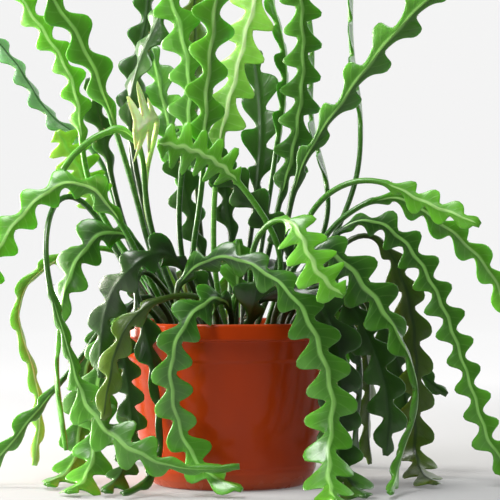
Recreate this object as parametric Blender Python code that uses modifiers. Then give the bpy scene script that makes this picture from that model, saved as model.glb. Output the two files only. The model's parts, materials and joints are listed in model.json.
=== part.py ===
"""Potted fishbone cactus: a turned pot, its soil, and flat stems with lobes along both edges.

Run it with blender --background --python part.py, or from the text editor.
X is right, -Y is the front, +Z is up. The origin is the middle of the pot's underside.
"""

import bpy
import numpy as np

MM = 0.001

# Pot, in millimetres
RIM_RADIUS = 75.0
RIM_BAND = 10.5
POT_HEIGHT = 108.0
POT_SIDES = 32

# Soil
SOIL_TOP = 98.0
SOIL_GAP = 0.3
HOLE_DEPTH = 15.0
HOLE_RADIUS = 3.2
HOLE_SIDES = 6

# Stems
STALK_HALF = 1.9
RIB_HALF = 1.9
EDGE_HALF = 0.5
DROOP = 0.15
STEP = 7.0
CLEAR = 0.7
ROUNDS = 120

# A stem's route is given as it is seen from the front, by an eye this far from the pot's axis
EYE_X = 13.3
EYE_Y = 1500.0
EYE_Z = 155.0

# Stem skins in sRGB
SKINS = {
    "dark": (0.20, 0.40, 0.13),
    "mid": (0.30, 0.58, 0.20),
    "bright": (0.40, 0.70, 0.24),
    "pale": (0.58, 0.76, 0.36),
    "misty": (0.46, 0.64, 0.44),
    "olive": (0.34, 0.44, 0.14),
    "young": (0.76, 0.88, 0.48),
    "shoot": (0.50, 0.76, 0.22),
}

# Each route point is (across, up, depth behind the pot's axis). The root is (x, y) on the soil.
# lean adds depth along the route, up to that many millimetres at the tip.
# floor holds (x, y) points that the stem's end trails through on the surface below.
# face holds (share of the length, heading, tilt): heading 0 faces the front, 90 faces +X.
# wide holds (share of the length, heading) of the blade's width instead, for a stem that arches back.
# width is tip to tip across the lobes, one number or (share of the length, width) pairs.
# shape names the outline of the lobes, bare is how far the stem is a stalk, tip is where it narrows.
STEMS = [
    dict(name="stem_upright_01", lean=40, root=(-30, 14), width=19, pitch=21, bare=150, skin="misty",
         shape="even",
         face=[(0, 30, 0), (0.4, 50, 0), (1, 40, 0)],
         route=[(-46, 122, 16), (-62, 145, 20), (-72, 168, 22), (-78, 190, 22), (-83, 210, 22),
                (-92, 224, 22), (-104, 232, 22), (-116, 239, 22), (-125, 249, 22), (-132, 261, 22),
                (-140, 275, 22), (-151, 289, 22), (-163, 300, 22), (-175, 309, 24)]),
    dict(name="stem_upright_02", lean=-25, root=(-28, 2), width=23, pitch=20, bare=160, skin="bright",
         shape="even",
         face=[(0, 0, 0), (1, -10, 0)],
         route=[(-42, 120, 4), (-61, 142, 4), (-78, 166, 4), (-88, 184, 4), (-94, 200, 4),
                (-98, 218, 4), (-99, 240, 4), (-101, 258, 4), (-107, 275, 4), (-118, 293, 4),
                (-132, 312, 6), (-144, 331, 8)]),
    dict(name="stem_upright_03", lean=-34, root=(-22, -14), width=28, pitch=26, bare=160, skin="mid",
         shape="even",
         face=[(0, 0, 0), (1, 8, 0)],
         route=[(-34, 118, -18), (-46, 134, -22), (-54, 158, -24), (-61, 185, -24),
                (-69, 213, -24), (-77, 238, -24), (-86, 265, -24), (-98, 293, -24),
                (-115, 318, -24), (-131, 341, -24)]),
    dict(name="stem_upright_04", lean=42, root=(-16, 28), width=26, pitch=24, bare=160, skin="dark",
         shape="even",
         face=[(0, 20, 0), (1, 20, 0)],
         route=[(-32, 122, 32), (-53, 160, 30), (-64, 200, 28), (-67, 235, 28), (-66, 262, 28),
                (-61, 283, 28), (-57, 300, 28), (-54, 320, 28), (-53, 345, 28)]),
    dict(name="stem_upright_05", lean=14, root=(-18, 8), width=27, pitch=22, bare=150, skin="dark",
         shape="even",
         face=[(0, 20, 0), (0.6, 10, 0), (0.75, -50, 0), (1, -20, 0)],
         route=[(-35, 120, 6), (-47, 142, 6), (-54, 168, 6), (-60, 196, 6), (-65, 222, 6),
                (-67, 247, 6), (-63, 270, 6), (-56, 289, 6), (-49, 302, 4), (-43, 315, 2),
                (-39, 334, 2)]),
    dict(name="stem_upright_06", lean=10, root=(-12, -6), width=34, pitch=24, bare=122, skin="mid",
         shape="even",
         face=[(0, 0, 0), (1, -8, 0)],
         route=[(-24, 120, -8), (-31, 142, -10), (-34, 166, -12), (-34, 190, -12),
                (-31, 215, -12), (-27, 240, -12), (-26, 257, -12), (-27, 274, -12),
                (-30, 292, -12), (-34, 308, -12), (-41, 328, -12), (-46, 342, -12)]),
    dict(name="stem_upright_07", lean=34, root=(-6, 18), width=27, pitch=22, bare=145, skin="olive",
         shape="even",
         face=[(0, 25, 0), (1, 25, 0)],
         route=[(-14, 125, 20), (-18, 152, 22), (-21, 180, 22), (-23, 210, 22), (-24, 240, 22),
                (-24, 270, 22), (-24, 300, 22), (-25, 336, 22)]),
    dict(name="stem_upright_08", lean=-40, root=(-14, -22), width=31, pitch=26, bare=125, skin="bright",
         shape="even",
         face=[(0, 0, 0), (1, 10, 0)],
         route=[(-22, 118, -24), (-26, 136, -26), (-25, 155, -26), (-21, 178, -26),
                (-18, 203, -26), (-17, 230, -26), (-16, 252, -26), (-15, 270, -26),
                (-13, 287, -26), (-11, 305, -26), (-9, 323, -26), (-8, 345, -26)]),
    dict(name="stem_upright_09", lean=26, root=(-2, 2), width=37, pitch=25, bare=128, skin="pale",
         shape="saw",
         face=[(0, 0, 0), (1, 0, 0)],
         route=[(-8, 125, 0), (-11, 150, 0), (-11, 180, 0), (-9, 210, 0), (-6, 235, 0),
                (-2, 248, 0), (1, 260, 0), (5, 274, 0), (8, 289, 0), (12, 305, 0),
                (17, 321, 0), (24, 350, 0)]),
    dict(name="stem_upright_10", lean=30, root=(10, 22), width=20, pitch=22, bare=140, skin="mid",
         face=[(0, 60, 0), (1, 60, 0)],
         route=[(16, 125, 26), (22, 165, 30), (29, 210, 32), (35, 250, 32), (37, 275, 32),
                (34, 297, 32), (28, 316, 32), (24, 336, 32)]),
    dict(name="stem_upright_11", lean=-22, root=(10, -10), width=30, pitch=19.5, bare=104, skin="mid",
         shape="saw",
         face=[(0, 0, 0), (1, 5, 0)],
         route=[(18, 125, -10), (26, 155, -10), (32, 184, -10), (37, 202, -10), (41, 216, -10),
                (44, 232, -10), (46, 247, -10), (48, 263, -10), (49, 281, -10), (48, 303, -10),
                (47, 323, -10), (45, 352, -10)]),
    dict(name="stem_upright_12", lean=34, root=(22, 16), width=22, pitch=22, bare=118, skin="mid",
         face=[(0, 75, 0), (1, 75, 0)],
         route=[(38, 125, 20), (56, 150, 24), (65, 172, 26), (66, 190, 26), (63, 207, 26),
                (58, 222, 26), (54, 237, 26), (53, 256, 26), (55, 280, 26), (54, 300, 26),
                (51, 320, 26)]),
    dict(name="stem_upright_13", lean=-48, root=(16, -22),
         width=[(0, 14), (0.55, 16), (0.68, 26), (1, 26)], pitch=33, bare=100, skin="mid", shape="knob",
         face=[(0, 0, 0), (1, 0, 0)],
         route=[(26, 125, -22), (34, 152, -22), (39, 180, -22), (43, 198, -22), (49, 215, -22),
                (57, 229, -22), (66, 242, -22), (75, 254, -22), (83, 266, -22), (91, 277, -22),
                (100, 288, -22), (110, 300, -22), (121, 312, -22), (132, 322, -22),
                (149, 338, -22)]),
    dict(name="stem_upright_14", lean=58, root=(28, 4), width=18, pitch=24, bare=165, skin="mid",
         face=[(0, 70, 0), (1, 78, 0)],
         route=[(46, 125, 12), (63, 152, 18), (75, 177, 20), (82, 194, 20), (86, 212, 20),
                (87, 232, 20), (86, 255, 20), (82, 274, 20), (80, 296, 20), (80, 320, 20),
                (81, 345, 20)]),
    dict(name="stem_upright_15", root=(24, -30), width=[(0, 24), (0.7, 34), (1, 38)],
         pitch=9.5, bare=125, skin="bright", shape="finger", face=[(0, 0, 0), (1, 0, 0)],
         route=[(33, 130, -38), (35, 152, -44), (27, 171, -46), (18, 184, -46), (9, 197, -46),
                (-1, 208, -46), (-10, 216, -46), (-20, 221, -46), (-32, 225, -46),
                (-44, 227, -46), (-52, 227, -46)]),
    dict(name="stem_upright_16", root=(-20, -24), width=56, pitch=11, bare=175, skin="young",
         shape="finger", face=[(0, 80, 0), (1, 75, 0)],
         route=[(-32, 122, -34), (-46, 150, -40), (-56, 180, -42), (-57, 205, -42),
                (-51, 226, -44), (-47, 240, -50), (-48, 246, -62), (-53, 242, -76),
                (-59, 237, -88), (-65, 232, -100)]),
    dict(name="stem_upright_17", root=(32, -28), width=26, pitch=20, bare=62, skin="dark",
         face=[(0, 0, 0), (1, 0, 0)],
         route=[(40, 124, -30), (43, 146, -34), (36, 164, -34), (25, 177, -34), (13, 189, -34),
                (1, 201, -34), (-10, 213, -34), (-22, 223, -34), (-35, 230, -34)]),
    dict(name="stem_upright_18", root=(-4, 12), width=27, pitch=21, bare=64, skin="dark", shape="even",
         face=[(0, 10, 0), (1, 10, 0)],
         route=[(-9, 122, 14), (-15, 142, 16), (-22, 162, 16), (-27, 181, 16), (-31, 200, 16),
                (-34, 220, 14), (-36, 238, 12)]),
    dict(name="stem_upright_19", root=(-38, 8), width=25, pitch=22, bare=128, skin="dark",
         shape="even", face=[(0, 20, 0), (1, 15, 0)],
         route=[(-50, 122, 14), (-63, 150, 18), (-73, 178, 20), (-79, 204, 20), (-83, 228, 20),
                (-88, 250, 18), (-95, 272, 16)]),
    dict(name="stem_upright_20", root=(4, 8), width=26, pitch=20, bare=72, skin="dark", shape="even",
         face=[(0, 5, 0), (1, 5, 0)],
         route=[(4, 122, 8), (3, 144, 8), (1, 166, 8), (-2, 188, 8), (-5, 210, 8), (-7, 228, 8)]),
    dict(name="stem_left_01", lean=-26, root=(-32, -12), width=25, pitch=22, bare=95, skin="bright",
         shape="even",
         face=[(0, 0, 0), (1, 0, 0)],
         route=[(-47, 122, -16), (-60, 150, -28), (-75, 178, -34), (-87, 194, -36),
                (-99, 202, -36), (-111, 201.5, -36), (-121, 194.5, -36), (-131, 185.5, -36),
                (-141.5, 174.5, -36), (-149, 164, -36), (-156, 153, -36), (-162, 141, -36),
                (-166, 127, -36), (-168, 112, -36)]),
    dict(name="stem_left_02", root=(-36, -22),
         width=[(0, 8), (0.66, 9), (0.72, 30), (0.79, 34), (0.85, 30), (0.91, 9), (1, 6)], pitch=21,
         bare=205, skin="mid", tip=16, face=[(0, 0, 0), (1, 0, 0)],
         route=[(-55, 121, -22), (-69, 141, -14), (-81, 166, -9), (-93, 184, -9),
                (-104, 194, -14), (-113, 192, -22), (-119, 183, -34), (-122, 170, -46),
                (-123, 156, -54), (-122, 144, -58), (-121, 134, -60), (-118, 124, -60),
                (-115, 114, -60), (-111, 103, -62), (-108, 92, -64), (-105, 81, -66),
                (-102, 70, -68), (-99, 59, -70), (-94, 49, -74), (-87, 40, -78), (-79, 32, -82),
                (-70, 24.5, -86), (-60, 18, -88), (-50, 13.5, -89), (-40, 10.5, -90),
                (-30, 9, -90), (-20, 8.5, -90), (-10, 9, -90), (0, 10.5, -89), (8, 11.5, -88)]),
    dict(name="stem_left_03", root=(-34, 2), width=[(0, 30), (0.58, 31), (0.68, 9), (1, 7)], pitch=22,
         bare=80, skin="mid",
         face=[(0, 20, 0), (0.5, 0, 0), (0.62, -30, 0), (0.75, -75, 0), (1, -75, 0)],
         route=[(-44, 124, -4), (-54, 150, -12), (-64, 164, -18), (-75, 170, -22),
                (-85, 169, -24), (-93, 162, -26), (-99, 153, -28), (-105, 143, -28),
                (-109, 132, -28), (-111, 118, -28), (-113, 104, -28), (-115, 92, -28),
                (-116, 80, -28), (-115, 68, -28), (-114, 56, -28), (-112, 44, -28),
                (-110, 32, -28), (-109, 22, -28)]),
    dict(name="stem_left_04", lean=26, root=(-26, 26), width=[(0, 14), (0.6, 12), (1, 11)], pitch=22,
         bare=110, skin="pale",
         face=[(0, 60, 0), (0.5, 60, 0), (0.7, 60, 0), (0.85, 25, 0), (1, 10, 0)],
         route=[(-40, 125, 34), (-60, 148, 32), (-80, 158, 22), (-98, 157, 12), (-112, 151, 4),
                (-124, 145, 2), (-133, 138, 0), (-140, 128, -2), (-143, 115, -2), (-142, 103, -2),
                (-138, 94, -2), (-134, 84, -2), (-131, 73, -2), (-128, 62, -2), (-126, 48, -4),
                (-127, 36, -6), (-129, 22, -8), (-130, 10, -8)]),
    dict(name="stem_left_05", root=(-14, -32), width=27, pitch=24, bare=55, skin="dark",
         face=[(0, 0, 0), (1, -15, 0)],
         route=[(-22, 126, -46), (-31, 145, -58), (-42, 154.5, -70), (-54, 152, -85),
                (-63, 145, -91), (-71, 137, -89), (-78, 128, -78), (-82, 117, -72),
                (-84, 106, -68), (-85, 94, -66), (-86, 83, -66), (-86, 70, -66)]),
    dict(name="stem_left_06", root=(-40, -4), width=15, pitch=22, bare=120, skin="mid",
         floor=[(-168, -18), (-188, -24), (-204, -34)], face=[(0, 30, 0), (1, 30, 0)],
         route=[(-52, 120, -10), (-66, 122, -14), (-79, 112, -16), (-90, 97, -16),
                (-98, 83, -16), (-108, 72, -16), (-117, 62, -16), (-125, 53, -16),
                (-133, 43, -16), (-141, 33, -16), (-148, 23, -16), (-154, 14, -16)]),
    dict(name="stem_left_07", root=(-38, 10), width=30, pitch=22, bare=70, skin="mid",
         floor=[(-108, -26), (-118, -48)], face=[(0, 0, 0), (1, 0, 0)],
         route=[(-54, 120, 8), (-70, 121, 6), (-83, 107, 4), (-92, 88, 2), (-97, 68, 0),
                (-99, 48, 0), (-100, 30, 0), (-101, 16, -4)]),
    dict(name="stem_left_08", root=(-42, -26), width=30, pitch=22, bare=55, skin="mid",
         floor=[(-93, -70), (-101, -90)], face=[(0, 0, 0), (1, -5, 0)],
         route=[(-52, 118, -34), (-64, 122, -40), (-76, 114, -44), (-83, 98, -44),
                (-86, 78, -44), (-88, 58, -44), (-89, 38, -44), (-89, 20, -46)]),
    dict(name="stem_left_09", root=(-26, -32), pitch=18, bare=138, skin="mid",
         width=[(0, 8), (0.6, 12), (0.74, 11), (0.82, 5), (1, 4.5)], face=[(0, 0, 0), (1, 0, 0)],
         route=[(-36, 122, -42), (-45, 145, -50), (-53, 170, -54), (-57, 195, -56),
                (-57, 218, -57), (-64, 235, -58), (-76, 239, -58), (-89, 230, -60),
                (-101, 223, -60), (-107, 217, -60), (-111, 208, -60)]),
    dict(name="stem_left_10", root=(-40, 18), width=34, pitch=11, bare=108, skin="shoot",
         shape="finger", face=[(0, 0, 0), (1, 0, 0)],
         route=[(-56, 135, 28), (-73, 160, 24), (-88, 182, 18), (-96, 202, 12), (-103, 216, 8),
                (-111, 228, 6), (-116, 236, 6)]),
    dict(name="stem_front_01", root=(-23, -43), pitch=20.5, bare=50, skin="mid",
         width=[(0, 18), (0.3, 22), (0.48, 27), (0.6, 37), (1, 34)],
         floor=[(62, -118), (65, -140)], face=[(0, 0, 0), (1, 0, 0)],
         route=[(-31, 112, -49), (-38, 119, -53), (-39, 128, -56), (-34, 136, -59),
                (-26, 143, -60), (-17, 149, -64), (-6, 152, -68), (5, 150.5, -72), (16, 145, -76),
                (27.5, 138, -80), (38, 129.5, -84), (46, 119.5, -86), (53, 108.5, -88),
                (57.5, 97, -88), (61, 86, -88), (65, 75, -88), (67, 65, -88), (69, 55, -88),
                (69, 45, -88), (67, 34, -88), (65, 24, -90)]),
    dict(name="stem_front_02", root=(6, -42), width=34, pitch=24, bare=40, skin="dark",
         floor=[(76, -98), (84, -120)], face=[(0, 0, 0), (1, 0, 0)],
         route=[(16, 122, -50), (34, 130, -58), (52, 124, -66), (63, 114, -70), (69, 102, -72),
                (72, 88, -72), (73, 72, -72), (73, 54, -72), (72, 36, -72), (71, 20, -74)]),
    dict(name="stem_front_03", root=(14, -36), width=34, pitch=13, bare=112, skin="bright",
         shape="finger", face=[(0, 0, 0), (1, 0, 0)],
         route=[(14, 122, -44), (13, 145, -54), (17, 165, -66), (27, 175, -76), (37, 179, -84),
                (44, 174, -90), (47.5, 165, -96), (50, 157, -100), (53, 149, -103),
                (57, 141, -105), (61, 134, -106), (66, 130, -106), (72, 126.5, -106),
                (79, 123, -106)]),
    dict(name="stem_front_04", root=(2, -36), width=28, pitch=22, bare=35, skin="mid",
         floor=[(-10, -84), (10, -92)], face=[(0, 0, 0), (1, 0, 0)],
         route=[(2, 119, -52), (-5, 125, -63), (-13, 123, -76), (-21, 117, -86),
                (-29, 109, -92), (-35, 98, -92), (-38.5, 87, -90), (-40, 74, -88),
                (-39.5, 62, -85), (-37, 50, -82), (-34, 38, -78), (-31, 26, -76)]),
    dict(name="stem_front_05", root=(-8, -40), width=[(0, 9), (0.45, 10), (0.6, 20), (1, 20)], pitch=22,
         bare=75, skin="olive",
         face=[(0, 0, 0), (1, 0, 0)],
         route=[(-7, 119, -46), (-15, 123.5, -53), (-25, 125.5, -62), (-35, 126, -70),
                (-46, 123.5, -76), (-56, 119, -80), (-64, 112.5, -82), (-70, 104, -82),
                (-74.5, 95, -82), (-77, 84, -81), (-79, 73, -80), (-81, 62, -80), (-83, 50, -81),
                (-84, 40, -82)]),
    dict(name="stem_front_06", root=(-24, -18), pitch=24, bare=97, skin="dark",
         width=[(0, 26), (0.5, 26), (0.7, 12), (1, 9)], floor=[(-54, -86), (-68, -104)],
         face=[(0, 0, 0), (0.5, 0, 0), (0.65, 60, 0), (0.85, 75, 0), (1, 60, 0)],
         route=[(-38, 122, -28), (-50, 137, -38), (-58, 145, -48), (-63, 142, -56),
                (-64, 133, -60), (-62, 121, -63), (-59, 108, -66), (-54, 93, -68),
                (-52, 80, -68), (-50, 67, -68), (-48, 54, -68), (-47, 42, -67), (-46, 29, -66),
                (-45, 18, -66)]),
    dict(name="stem_front_07", root=(-36, -28), width=20, pitch=17, bare=60, skin="dark",
         floor=[(-71, -72), (-79, -92)], face=[(0, 0, 0), (1, 0, 0)],
         route=[(-43, 119, -34), (-52, 127, -41), (-62, 126, -46), (-70, 114, -46),
                (-71, 98, -46), (-69, 82, -46), (-67, 66, -46), (-65, 50, -46), (-64, 34, -46),
                (-65, 20, -48)]),
    dict(name="stem_front_08", root=(11, -48), width=36, pitch=24, bare=17, skin="dark",
         face=[(0, 0, 0), (1, 10, 0)],
         route=[(13, 112, -55), (16, 123, -59), (19, 136, -61), (24, 149, -61)]),
    dict(name="stem_front_09", root=(-4, -24), width=31, pitch=20, bare=32, skin="dark",
         face=[(0, 0, 0), (1, 0, 0)],
         route=[(-8, 113, -28), (-15, 124, -30), (-22, 134, -31), (-28, 144, -31)]),
    dict(name="stem_front_10", root=(0, -12), width=30, pitch=20, bare=32, skin="mid",
         face=[(0, 5, 0), (1, 5, 0)],
         route=[(2, 114, -16), (5, 130, -18), (7, 147, -20), (6, 163, -20)]),
    dict(name="stem_right_01", lean=-30, root=(26, -12), pitch=19, bare=155, skin="bright",
         width=[(0, 8), (0.62, 9), (0.74, 25), (0.9, 23), (1, 19)], face=[(0, 0, 0), (1, 0, 0)],
         route=[(34, 122, -22), (40, 148, -30), (48, 171, -34), (57, 186, -36), (68, 196, -36),
                (80, 201, -36), (93, 203, -36), (105, 200, -36), (116, 194, -36),
                (127, 187, -36), (137, 183, -36), (147, 180, -36), (158, 176, -36),
                (167, 171, -36)]),
    dict(name="stem_right_02", lean=36, root=(32, 16), pitch=24, bare=120, skin="bright",
         width=[(0, 14), (0.5, 16), (0.65, 24), (1, 22)],
         face=[(0, 20, 0), (0.4, 40, 0), (0.5, 60, 0), (0.62, 10, 0), (1, 0, 0)],
         route=[(44, 124, 16), (56, 152, 16), (70, 173, 14), (85, 184, 12), (101, 191, 12),
                (114, 190.5, 12), (125, 184, 12), (135, 175, 12), (143.5, 170.5, 12),
                (152, 163.5, 12), (160, 155.5, 12), (168, 147, 12), (175.5, 137.5, 12),
                (181, 124, 12), (184, 108, 12)]),
    dict(name="stem_right_03", lean=-14, root=(36, -4), pitch=18, bare=90, skin="mid", shape="even",
         width=[(0, 18), (0.3, 20), (0.42, 28), (0.62, 28), (0.72, 22), (0.8, 26), (1, 22)],
         floor=[(190, -24), (206, -34)],
         face=[(0, 0, 0), (0.18, 0, 30), (0.3, 0, 40), (0.4, 0, 0), (1, 0, 0)],
         route=[(46, 124, -10), (58, 150, -16), (70, 167, -18), (81, 174, -18), (90, 177, -18),
                (99, 175, -18), (106.5, 170, -18), (114, 163, -18), (121, 155, -18),
                (127.5, 146, -18), (132.5, 136, -18), (137, 127, -18), (141.5, 118, -18),
                (146, 106.5, -18), (150, 94, -18), (154, 82, -18), (158, 71, -18), (161, 61, -18),
                (164, 51, -18), (167, 41, -18), (170, 30, -18), (175, 18, -18)]),
    dict(name="stem_right_04", lean=14, root=(38, 8), width=28, pitch=24, bare=106, skin="olive",
         floor=[(127, -16), (134, -38)],
         face=[(0, 0, 0), (0.2, 0, 28), (0.36, 0, 28), (0.46, 0, 0), (1, 0, 0)],
         route=[(50, 124, 8), (64, 148, 10), (79, 164, 10), (93, 169, 10), (102, 161, 10),
                (108, 150, 10), (114, 139, 10), (117.5, 128, 10), (120, 115, 10),
                (122.5, 100, 10), (123.5, 82, 10), (124, 64, 10), (123, 46, 10), (122, 30, 10),
                (123, 17, 8)]),
    dict(name="stem_right_05", root=(26, -34), pitch=22, bare=70, skin="mid",
         width=[(0, 34), (0.5, 36), (0.64, 14), (0.75, 10), (1, 10)], floor=[(103, -82), (99, -102)],
         face=[(0, 0, 0), (0.45, 0, 0), (0.6, 55, 0), (0.75, 72, 0), (1, 60, 0)],
         route=[(33, 124, -42), (42, 145, -50), (53, 157, -54), (64, 158, -56), (73, 151, -56),
                (80, 143, -56), (87, 134, -56), (94.5, 125, -56), (102, 115, -56),
                (107.5, 105, -56), (113, 94.5, -56), (118, 84, -56), (122, 74, -56),
                (124, 62, -56), (124.5, 51, -56), (121.5, 41, -56), (117, 31, -56),
                (112, 20, -58)]),
    dict(name="stem_right_06", root=(30, -22), width=30, pitch=22, bare=60, skin="dark",
         face=[(0, 0, 0), (1, 10, 0)],
         route=[(42, 121, -28), (56, 133, -34), (69, 133, -38), (79, 123, -40), (87, 108, -40),
                (94, 92, -40), (100, 78, -40), (104, 63, -40), (106, 47, -40), (105, 31, -40),
                (103, 17, -40)]),
    dict(name="stem_right_07", root=(40, 22), width=24, pitch=22, bare=80, skin="dark",
         face=[(0, 20, 0), (1, 20, 0)],
         route=[(54, 122, 26), (72, 134, 30), (88, 126, 32), (99, 110, 32), (107, 94, 32),
                (111, 80, 32), (114, 64, 32), (117, 50, 32), (120, 38, 32)]),
    dict(name="stem_right_08", root=(38, -14), width=20, pitch=20, bare=65, skin="dark",
         face=[(0, 0, 0), (0.4, 0, 0), (0.6, 60, 0), (1, 75, 0)],
         route=[(48, 118, -18), (62, 125, -20), (74, 118, -20), (81, 102, -20), (85, 84, -20),
                (87, 66, -20), (85, 50, -20), (82, 37, -20), (84, 24, -20), (85, 12, -20)]),
    dict(name="stem_right_09", root=(28, 30), width=24, pitch=22, bare=80, skin="olive",
         face=[(0, 10, 0), (0.4, 10, 0), (0.6, 45, 0), (1, 55, 0)],
         route=[(44, 120, 36), (62, 133, 46), (77, 124, 52), (86, 104, 54), (90, 84, 54),
                (92, 66, 54), (91, 50, 54), (90, 36, 54), (91, 22, 54), (93, 12, 54)]),
    dict(name="stem_right_10", root=(38, 32), width=18, pitch=20, bare=100, skin="dark",
         face=[(0, 20, 0), (1, 20, 0)],
         route=[(56, 122, 50), (78, 128, 60), (98, 108, 62), (115, 86, 62), (130, 68, 62),
                (147, 57, 62)]),
    dict(name="stem_back_01", root=(-24, 36), width=30, pitch=29, bare=55, skin="dark",
         floor=[(-66, 134), (-70, 154)], wide=[(0, 15), (1, 10)],
         route=[(-30, 122, 46), (-38, 140, 64), (-47, 147, 84), (-54, 138, 101),
                (-58, 118, 110), (-60, 95, 113), (-61, 70, 114), (-62, 45, 114), (-63, 22, 116)]),
    dict(name="stem_back_02", root=(-12, 42), width=32, pitch=29, bare=55, skin="mid",
         wide=[(0, 8), (1, 8)],
         route=[(-15, 122, 54), (-18, 143, 72), (-24, 150, 92), (-29, 140, 107), (-32, 120, 115),
                (-34, 96, 117), (-35, 70, 117), (-36, 46, 117)]),
    dict(name="stem_back_03", root=(0, 36), width=30, pitch=29, bare=55, skin="bright",
         floor=[(-2, 142), (-5, 164)], wide=[(0, 0), (1, 0)],
         route=[(0, 126, 46), (1, 150, 62), (2, 160, 84), (2, 153, 106), (1, 132, 120),
                (0, 106, 124), (-1, 78, 124), (-2, 50, 124), (-2, 24, 126)]),
    dict(name="stem_back_04", root=(13, 42), width=30, pitch=29, bare=55, skin="dark",
         wide=[(0, -10), (1, -10)],
         route=[(17, 122, 54), (22, 143, 70), (28, 151, 90), (33, 142, 105), (36, 121, 112),
                (38, 97, 114), (39, 72, 114), (40, 50, 114)]),
    dict(name="stem_back_05", root=(24, 38), width=28, pitch=29, bare=60, skin="mid",
         floor=[(72, 128), (77, 148)], wide=[(0, -20), (1, -15)],
         route=[(33, 121, 50), (43, 137, 68), (53, 144, 86), (61, 136, 100), (65, 117, 107),
                (67, 94, 109), (68, 70, 110), (68, 44, 110), (69, 22, 111)]),
    dict(name="stem_back_06", root=(-10, 30), width=30, pitch=26, bare=110, skin="mid",
         face=[(0, 160, 0), (1, 170, 0)],
         route=[(-15, 125, 38), (-21, 160, 50), (-29, 195, 62), (-38, 230, 74), (-46, 262, 84),
                (-52, 292, 92)]),
    dict(name="stem_back_07", root=(8, 31), width=32, pitch=26, bare=110, skin="dark",
         face=[(0, 190, 0), (1, 185, 0)],
         route=[(9, 125, 38), (13, 160, 50), (18, 195, 62), (21, 228, 74), (20, 258, 84),
                (15, 290, 92)]),
]


def clear_scene():
    for old in list(bpy.data.objects):
        bpy.data.objects.remove(old, do_unlink=True)
    for old in list(bpy.data.collections):
        bpy.data.collections.remove(old)


def linear(colour):
    """sRGB to the linear values that a shader takes."""
    return [((c + 0.055) / 1.055) ** 2.4 if c > 0.04 else c / 12.92 for c in colour]


def skin_of(name, colour, roughness):
    material = bpy.data.materials.new(name)
    material.use_nodes = True
    shader = material.node_tree.nodes["Principled BSDF"]
    shader.inputs["Base Color"].default_value = (*linear(colour), 1.0)
    shader.inputs["Roughness"].default_value = roughness
    shader.inputs["Metallic"].default_value = 0.0
    return material


# Pot and soil


def wall_radius(height):
    """Outer radius of the pot at this height."""
    heights = [0.0, 1.5, 6.0, 11.0, 14.5, 45.0, 78.0, 83.0, 84.5, 97.3, 97.6, 200.0]
    radii = [47.0, 50.5, 54.5, 57.0, 57.8, 63.2, 67.9, 68.6, 69.5, 71.6, RIM_RADIUS, RIM_RADIUS]
    return np.interp(height, heights, radii)


def turned(name, profile, sides, collection):
    """A solid turned from (radius, height) points that run from the axis out and back to it."""
    mesh = bpy.data.meshes.new(name)
    points = [(r * MM, 0.0, h * MM) for r, h in profile]
    mesh.from_pydata(points, [(i, i + 1) for i in range(len(points) - 1)], [])
    body = bpy.data.objects.new(name, mesh)
    collection.objects.link(body)
    screw = body.modifiers.new("Turn", "SCREW")
    screw.axis = "Z"
    screw.steps = sides
    screw.render_steps = sides
    screw.use_merge_vertices = True
    screw.merge_threshold = 1e-5
    return body


def make_pot(collection):
    inner = [(0.0, 2.5), (46.0, 2.5), (54.6, 11.0)]
    inside_rim = [(68.8, 97.5), (69.6, 106.8), (70.8, POT_HEIGHT)]
    rim = [(74.2, POT_HEIGHT), (RIM_RADIUS, 107.0), (RIM_RADIUS, POT_HEIGHT - RIM_BAND)]
    wall = [(71.6, 97.2), (69.5, 84.5), (68.6, 83.0), (63.2, 45.0), (57.8, 14.5), (57.0, 11.0)]
    foot = [(54.5, 6.0), (50.5, 1.5), (47.0, 0.0), (0.0, 0.0)]
    pot = turned("pot", inner + inside_rim + rim + wall + foot, POT_SIDES, collection)
    pot.data.materials.append(skin_of("pot_plastic", (0.76, 0.33, 0.14), 0.22))
    return pot


def make_soil(collection, cutters, roots):
    gap = SOIL_GAP
    side = [(68.6 - gap, SOIL_TOP), (54.5 - gap, 11.0), (45.8 - gap, 2.5 + gap)]
    profile = [(0.0, SOIL_TOP)] + side + [(0.0, 2.5 + gap)]
    soil = turned("soil", profile, POT_SIDES, collection)
    soil.data.materials.append(skin_of("soil_earth", (0.16, 0.11, 0.08), 0.95))
    for i, (x, y) in enumerate(roots):
        bpy.ops.mesh.primitive_cylinder_add(
            vertices=HOLE_SIDES,
            radius=HOLE_RADIUS * MM,
            depth=(HOLE_DEPTH + 10) * MM,
            location=(x * MM, y * MM, (SOIL_TOP - HOLE_DEPTH + (HOLE_DEPTH + 10) / 2) * MM),
        )
        cutter = bpy.context.object
        cutter.name = f"root_hole_{i + 1:02d}"
        cutter.hide_render = True
        cutter.display_type = "WIRE"
        for holder in list(cutter.users_collection):
            holder.objects.unlink(cutter)
        cutters.objects.link(cutter)
    cut = soil.modifiers.new("Root holes", "BOOLEAN")
    cut.operand_type = "COLLECTION"
    cut.collection = cutters
    cut.operation = "DIFFERENCE"
    return soil


# Stem routes


def to_real(seen):
    """Points (across, up, depth) as the front eye sees them, to real x, y, z."""
    grow = (EYE_Y + seen[:, 2]) / EYE_Y
    x = EYE_X + (seen[:, 0] - EYE_X) * grow
    z = EYE_Z + (seen[:, 1] - EYE_Z) * grow
    return np.stack([x, seen[:, 2], z], axis=1)


def to_seen(real):
    grow = (EYE_Y + real[:, 1]) / EYE_Y
    across = EYE_X + (real[:, 0] - EYE_X) / grow
    up = EYE_Z + (real[:, 2] - EYE_Z) / grow
    return np.stack([across, up, real[:, 1]], axis=1)


def lengths_of(points):
    return np.concatenate([[0.0], np.cumsum(np.linalg.norm(np.diff(points, axis=0), axis=1))])


def resampled(points, at):
    along = lengths_of(points)
    return np.stack([np.interp(at, along, points[:, k]) for k in range(3)], axis=1)


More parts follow.
